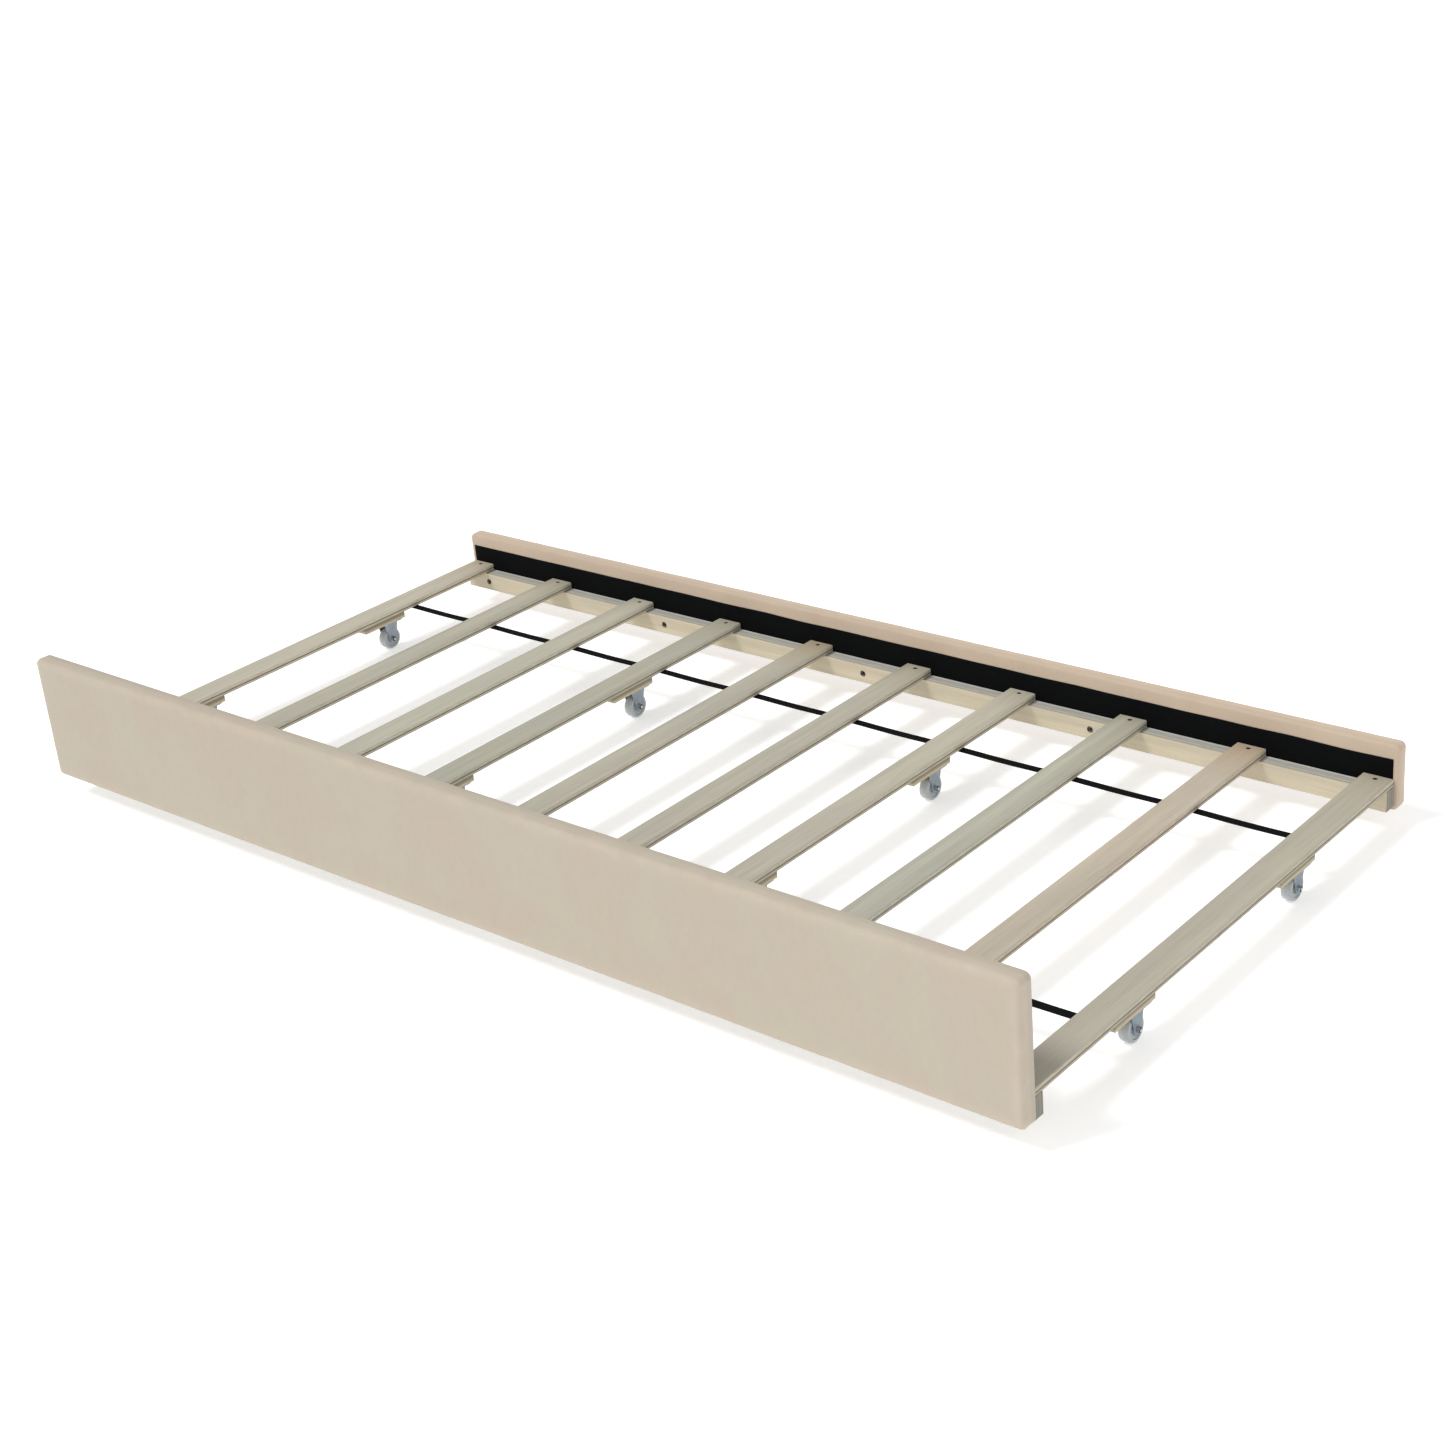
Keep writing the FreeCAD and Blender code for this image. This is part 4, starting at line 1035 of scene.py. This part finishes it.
def wire_staple(sizes):
    """Staple of round wire, legs up; the top of its crown lies at the point."""
    f = Fastener("strap_staple", {"Wire": sizes.wire, "Crown": sizes.crown, "Leg": sizes.leg})
    size = f.inlet
    line = f.add("GeometryNodeMeshLine", {"Count": 4}).outputs[0]
    index = f.add("GeometryNodeInputIndex").outputs[0]
    offset = f.minus(index, 1.5)
    half = f.minus(f.times(size["Crown"], 0.5), f.times(size["Wire"], 0.5))
    across = f.times(f.math("SIGN", offset), half)
    outer = f.math("GREATER_THAN", f.math("ABSOLUTE", offset), 1.0)
    drop = f.times(size["Wire"], -0.5)
    upward = f.plus(f.times(outer, size["Leg"]), drop)
    bent = f.add("GeometryNodeSetPosition", {"Geometry": line,
                                             "Position": f.join(y=across, z=upward)}).outputs[0]
    curve = f.add("GeometryNodeMeshToCurve", {"Mesh": bent}).outputs[0]
    rounded = f.add("GeometryNodeFilletCurve", mode="POLY")
    f.feed(rounded.inputs["Curve"], curve)
    f.feed(rounded.inputs["Radius"], size["Wire"])
    f.feed(rounded.inputs["Count"], 4)
    wire = f.add("GeometryNodeCurvePrimitiveCircle", {"Resolution": 10}, mode="RADIUS")
    f.feed(wire.inputs["Radius"], f.times(size["Wire"], 0.5))
    f.part = f.add("GeometryNodeCurveToMesh", {"Curve": rounded.outputs[0],
                                               "Profile Curve": wire.outputs[0],
                                               "Fill Caps": True}).outputs[0]
    return f


# ---- where the fasteners stand, from the frame -------------------------------------------------

def slat_screw_spots(sizes):
    head_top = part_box("slat_screws")[1].z - sizes.sunk
    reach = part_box("slat_screws")[1].y - sizes.slat_head
    return [(Vector((middle(name).x, side * reach, head_top)), UP)
            for side in (-1, 1) for name in SLATS]


def block_screw_spots(sizes):
    """Two screws in each block: near its front end and just before the caster's plate."""
    spots = []
    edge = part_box("front_block_1")[0].y - (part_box("block_screws")[0].y - sizes.block_head)
    for caster in CASTERS:
        block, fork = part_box(caster % "block"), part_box(caster % "fork")
        x = (block[0].x + block[1].x) / 2
        far = block[0].y - edge
        spots += [(Vector((x, y, block[0].z + sizes.sunk)), DOWN)
                  for y in (far, fork[0].y - (far - block[0].y))]
    return spots


def plate_screw_spots():
    """A screw at each corner of every caster's plate."""
    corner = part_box("caster_screws")[0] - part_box("front_fork_1")[0]
    inset = (corner.x + settings("hardware").plate_head, corner.y + settings("hardware").plate_head)
    spots = []
    for caster in CASTERS:
        low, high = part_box(caster % "fork")
        under = high.z - settings("hardware").sheet
        spots += [(Vector((x, y, under)), DOWN) for x in (low.x + inset[0], high.x - inset[0])
                  for y in (low.y + inset[1], high.y - inset[1])]
    return spots


def rail_bolt_spots(seat):
    """Five bolts along each rail, their heads towards the middle of the bed."""
    low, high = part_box("rail_bolts")
    head = (high.z - low.z) / 2
    first, last = low.x + head, high.x - head
    spots = []
    for word, side in PANELS.items():
        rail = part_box(word + "_rail")
        z = (rail[0].z + rail[1].z) / 2
        for step in range(5):
            x = first + (last - first) * step / 4
            spots.append((Vector((x, side * seat, z)), Vector((0, -side, 0))))
    return spots


def axle_spots():
    return [(middle(caster % "wheel"), Vector((1, 0, 0))) for caster in CASTERS]


def staple_spots():
    spots = []
    for word in PANELS:
        low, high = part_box(word + "_strap")
        spots += [(Vector((middle(name).x, (low.y + high.y) / 2, low.z)), UP) for name in SLATS]
    return spots


# ---- stage -------------------------------------------------------------------------------------

def lay_floor(values):
    bm = bmesh.new()
    bmesh.ops.create_grid(bm, x_segments=2, y_segments=2, size=values.floor_reach)
    finish = Finish("pale_floor", Specular_IOR_Level=0.1)
    shade = finish.noise(2.0, detail=2.0)
    base = finish.mix(finish.span(shade, 0.3, 0.7), lighter(values.floor, 0.995), tuple(values.floor))
    finish.shader.inputs["Emission Color"].default_value = (1, 1, 1, 1)
    finish.shader.inputs["Emission Strength"].default_value = values.glow
    object_from("floor", bm, finish.surface(base, 0.8))


def light_room(values):
    """Even light from the room, a key light, and a soft box at the bed's right end."""
    world = bpy.data.worlds.new("room")
    world.use_nodes = True
    background = world.node_tree.nodes["Background"]
    background.inputs["Color"].default_value = (1, 1, 1, 1)
    background.inputs["Strength"].default_value = values.sky
    bpy.context.scene.world = world
    sun = bpy.data.objects.new("key", bpy.data.lights.new("key", "SUN"))
    sun.data.energy = values.sun
    sun.data.angle = values.sun_angle
    sun.rotation_euler = Vector(values.sun_from).to_track_quat("Z", "Y").to_euler()
    bpy.context.scene.collection.objects.link(sun)
    box = bpy.data.objects.new("soft_box", bpy.data.lights.new("soft_box", "AREA"))
    box.data.shape = "RECTANGLE"
    box.data.size, box.data.size_y = values.soft_width, values.soft_height
    box.data.energy = values.soft
    box.location = values.soft_place
    box.rotation_euler = (box.location - Vector(values.soft_aim)).to_track_quat("Z", "Y").to_euler()
    bpy.context.scene.collection.objects.link(box)


def set_camera(values):
    camera = bpy.data.objects.new("camera", bpy.data.cameras.new("camera"))
    bpy.context.scene.collection.objects.link(camera)
    camera.data.lens = values.lens
    camera.data.clip_end = 4 * values.floor_reach
    level = math.cos(values.dip)
    ahead = Vector((-math.sin(values.turn) * level, math.cos(values.turn) * level, -math.sin(values.dip)))
    aim = ahead.to_track_quat("-Z", "Y").to_matrix() @ Matrix.Rotation(values.roll, 3, "Z")
    camera.matrix_world = Matrix.LocRotScale(Vector(values.place), aim, None)
    bpy.context.scene.camera = camera


# ---- operators ---------------------------------------------------------------------------------

class BuildCovers(bpy.types.Operator):
    """Velvet covers of the front and rear panels, swollen over their foam"""
    bl_idname = "trundle.covers"
    bl_label = "Velvet Covers"

    def execute(self, context):
        for word in PANELS:
            build_cover(word)
        return {"FINISHED"}


class BuildCores(bpy.types.Operator):
    """Board and foam inside the panels"""
    bl_idname = "trundle.cores"
    bl_label = "Boards and Foam"

    def execute(self, context):
        dress_nodes(["front_board", "rear_board"], particle_board())
        dress_nodes(["front_foam", "rear_foam"], open_foam())
        return {"FINISHED"}


class BuildLinings(bpy.types.Operator):
    """Black dust cloth on the inner faces of both panels"""
    bl_idname = "trundle.linings"
    bl_label = "Dust Cloth"

    def execute(self, context):
        material = dust_cloth()
        for word in PANELS:
            build_lining(word, material)
        return {"FINISHED"}


class BuildWood(bpy.types.Operator):
    """Ledger rails, slats and caster blocks of plywood"""
    bl_idname = "trundle.wood"
    bl_label = "Rails, Slats and Blocks"

    def execute(self, context):
        colours = settings("colours")
        low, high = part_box("rear_rail")
        grey, seam = colours.ply_grey, lighter(colours.ply_grey, 0.5)
        bands = ((0.0, lighter(colours.rail, 0.85)), (0.07, lighter(colours.rail, 0.85)), (0.10, seam),
                 (0.14, grey), (0.40, lighter(grey, 1.15)), (0.43, seam), (0.47, grey), (0.68, grey),
                 (0.71, seam), (0.76, lighter(grey, 1.15)), (1.0, lighter(grey, 1.35)))
        rail = plywood("rail_plywood", colours.rail, "X", "Y", low.y, high.y - low.y, bands, 3.1,
                       end_grain_and_shade=0.6)
        dress_nodes(["front_rail", "rear_rail"], rail)
        low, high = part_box(SLATS[0])
        for number, (name, (warm, light, stain)) in enumerate(zip(SLATS, SLAT_TONES)):
            tint = [channel * (1 + light) for channel in colours.slat]
            face = (tint[0] * (1 + 0.10 * warm), tint[1] * (1 - 0.02 * warm), tint[2] * (1 - 0.04 * warm))
            brown = (face[0] * 0.52, face[1] * 0.46, face[2] * 0.40)
            bands = ((0.0, brown), (0.10, lighter(brown, 1.2)), (0.17, lighter(face, 0.92)),
                     (0.36, lighter(face, 0.98)), (0.42, colours.ply_dark),
                     (0.53, lighter(colours.ply_dark, 1.5)), (0.59, face), (1.0, lighter(face, 1.2)))
            material = plywood(name + "_plywood", face, "Y", "Z", low.z, high.z - low.z, bands,
                               5.3 * number, stain)
            dress_nodes([name], material)
        low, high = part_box("front_block_1")
        # The brown band over the upper part of each block's side and the dark line at its top are painted
        # shadow from the slat above. The cream, dark and golden lines below them are plies.
        cream, brown = lighter(colours.block, 1.05), lighter(colours.block, 0.45)
        bands = ((0.0, cream), (0.34, cream), (0.40, colours.ply_dark), (0.46, colours.block),
                 (0.54, brown), (0.90, brown), (0.96, colours.ply_dark))
        block = plywood("block_plywood", colours.block, "Y", "Z", low.z, high.z - low.z, bands, 1.7)
        dress_nodes([caster % "block" for caster in CASTERS], block)
        return {"FINISHED"}


class BuildWebbing(bpy.types.Operator):
    """Two woven straps under the slats"""
    bl_idname = "trundle.webbing"
    bl_label = "Webbing"

    def execute(self, context):
        material = webbing()
        for word in PANELS:
            build_strap(word, material)
        return {"FINISHED"}


class BuildForks(bpy.types.Operator):
    """Pressed forks of the casters"""
    bl_idname = "trundle.forks"
    bl_label = "Caster Forks"

    def execute(self, context):
        material = steel("dull_zinc", settings("colours").zinc, 0.42, 0.85, brush=0.5)
        for caster in CASTERS:
            build_fork(caster % "fork", material)
        return {"FINISHED"}


class BuildWheels(bpy.types.Operator):
    """Milky wheels of the casters"""
    bl_idname = "trundle.wheels"
    bl_label = "Caster Wheels"

    def execute(self, context):
        material = nylon()
        for caster in CASTERS:
            build_wheel(caster % "wheel", material)
        return {"FINISHED"}


class BuildScrews(bpy.types.Operator):
    """Wood screws in the slats and blocks, and the screws that hold the casters"""
    bl_idname = "trundle.screws"
    bl_label = "Screws"

    def execute(self, context):
        sizes, colours = settings("hardware"), settings("colours")
        dark = steel("dark_screw", colours.dark, 0.45, 0.7)
        bright = steel("bright_screw", colours.bright, 0.32)
        low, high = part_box("slat_screws")
        reach = high.z - low.z - sizes.sunk
        fastener = flat_screw("slat_screw", sizes.slat_head, sizes.wood_shank, reach, sizes)
        grow("slat_wood_screws", fastener, math.pi, slat_screw_spots(sizes), dark,
             "dark_steel", "slat_screws")
        low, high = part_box("block_screws")
        reach = high.z - low.z - sizes.sunk
        fastener = flat_screw("block_screw", sizes.block_head, sizes.wood_shank, reach, sizes)
        grow("block_wood_screws", fastener, math.pi, block_screw_spots(sizes), bright,
             "bright_steel", "block_screws")
        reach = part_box("caster_screws")[1].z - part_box("front_fork_1")[1].z + sizes.sheet
        fastener = round_screw("plate_screw", sizes.plate_head, sizes.plate_shank, reach, sizes)
        grow("caster_plate_screws", fastener, math.pi, plate_screw_spots(), bright,
             "bright_steel", "caster_screws")
        return {"FINISHED"}


class BuildRailBolts(bpy.types.Operator):
    """Socket bolts, washers and threaded inserts that hold the rails to the panels"""
    bl_idname = "trundle.rail_bolts"
    bl_label = "Rail Bolts"

    def execute(self, context):
        sizes, colours = settings("hardware"), settings("colours")
        bolts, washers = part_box("rail_bolts"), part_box("rail_washers")
        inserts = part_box("rail_inserts")
        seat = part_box("rear_rail")[0].y + sizes.head_depth + sizes.head_height
        dark = steel("dark_bolt", lighter(colours.dark, 3.2), 0.3, 0.85)
        zinc = steel("zinc_washer", colours.zinc, 0.35)
        bore = sizes.bolt_shank + sizes.bolt_play
        fastener = socket_bolt(sizes, sizes.head_height, bolts[1].y - seat)
        grow("rail_socket_bolts", fastener, math.pi, rail_bolt_spots(seat), dark,
             "dark_steel", "rail_bolts")
        fastener = ring_part("rail_washer", sizes.washer, bore, seat - washers[1].y, 0.0)
        grow("rail_bolt_washers", fastener, 0.0, rail_bolt_spots(seat), zinc,
             "zinc_plate", "rail_washers")
        mouth = inserts[1].y - sizes.insert_length
        fastener = ring_part("rail_insert", sizes.insert, bore, mouth - inserts[1].y, 0.0)
        grow("rail_threaded_inserts", fastener, 0.0, rail_bolt_spots(mouth), zinc,
             "zinc_plate", "rail_inserts")
        return {"FINISHED"}


class BuildAxles(bpy.types.Operator):
    """Axle bolts, nuts and sleeves of the casters"""
    bl_idname = "trundle.axles"
    bl_label = "Axles"

    def execute(self, context):
        sizes, colours = settings("hardware"), settings("colours")
        bright = steel("bright_axle", colours.bright, 0.28)
        centre = middle("front_wheel_1").x
        nut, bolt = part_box("axle_nuts"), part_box("axle_bolts")
        reach = nut[0].x - centre
        bar_end = bolt[1].x - middle("front_wheel_4").x
        into_head = 0.5 * MM
        fastener = hexagon_part("axle_bolt", sizes, -reach, -reach - into_head, bar_end)
        grow("caster_axle_bolts", fastener, math.pi, axle_spots(), bright,
             "bright_steel", "axle_bolts")
        fastener = hexagon_part("axle_nut", sizes, reach)
        grow("caster_axle_nuts", fastener, math.pi, axle_spots(), bright,
             "bright_steel", "axle_nuts")
        half = reach - sizes.sheet
        fastener = ring_part("axle_sleeve", sizes.sleeve, sizes.axle + sizes.turning_gap, -half, half, 48)
        grow("caster_axle_sleeves", fastener, 0.0, axle_spots(), bright,
             "bright_steel", "axle_sleeves")
        return {"FINISHED"}


class BuildStaples(bpy.types.Operator):
    """Staples that hold the straps to the slats"""
    bl_idname = "trundle.staples"
    bl_label = "Staples"

    def execute(self, context):
        fastener = wire_staple(settings("hardware"))
        material = steel("staple_wire", settings("colours").bright, 0.3)
        askew = math.radians(6)
        grow("webbing_staples", fastener, askew, staple_spots(), material,
             "bright_steel", "strap_staples")
        return {"FINISHED"}


class BuildStage(bpy.types.Operator):
    """Floor, light and camera"""
    bl_idname = "trundle.stage"
    bl_label = "Stage"

    def execute(self, context):
        values = settings("stage")
        context.scene.view_settings.view_transform = "Standard"
        lay_floor(values)
        light_room(values)
        set_camera(values)
        return {"FINISHED"}


STEPS = (BuildCores, BuildCovers, BuildLinings, BuildWood, BuildWebbing, BuildForks, BuildWheels,
         BuildScrews, BuildRailBolts, BuildAxles, BuildStaples, BuildStage)
GROUPS = {"upholstery": TrundleUpholstery, "hardware": TrundleHardware, "colours": TrundleColours,
          "stage": TrundleStage}


class TrundlePanel(bpy.types.Panel):
    """Lists the steps and their settings in the sidebar"""
    bl_idname = "VIEW3D_PT_trundle_bed"
    bl_label = "Trundle Bed"
    bl_space_type = "VIEW_3D"
    bl_region_type = "UI"
    bl_category = "Trundle Bed"

    def draw(self, context):
        for step in STEPS:
            self.layout.operator(step.bl_idname)
        for name, group in GROUPS.items():
            box = self.layout.box()
            box.label(text=name.capitalize())
            for key in group.__annotations__:
                box.prop(settings(name), key)


def register():
    for group in GROUPS.values():
        bpy.utils.register_class(group)
    for name, group in GROUPS.items():
        setattr(bpy.types.Scene, "trundle_" + name, bpy.props.PointerProperty(type=group))
    for step in STEPS:
        bpy.utils.register_class(step)
    bpy.utils.register_class(TrundlePanel)


def unregister():
    bpy.utils.unregister_class(TrundlePanel)
    for step in reversed(STEPS):
        bpy.utils.unregister_class(step)
    for name, group in GROUPS.items():
        delattr(bpy.types.Scene, "trundle_" + name)
        bpy.utils.unregister_class(group)


def main():
    register()
    for step in STEPS:
        family, name = step.bl_idname.split(".")
        getattr(getattr(bpy.ops, family), name)()


if __name__ == "__main__":
    main()
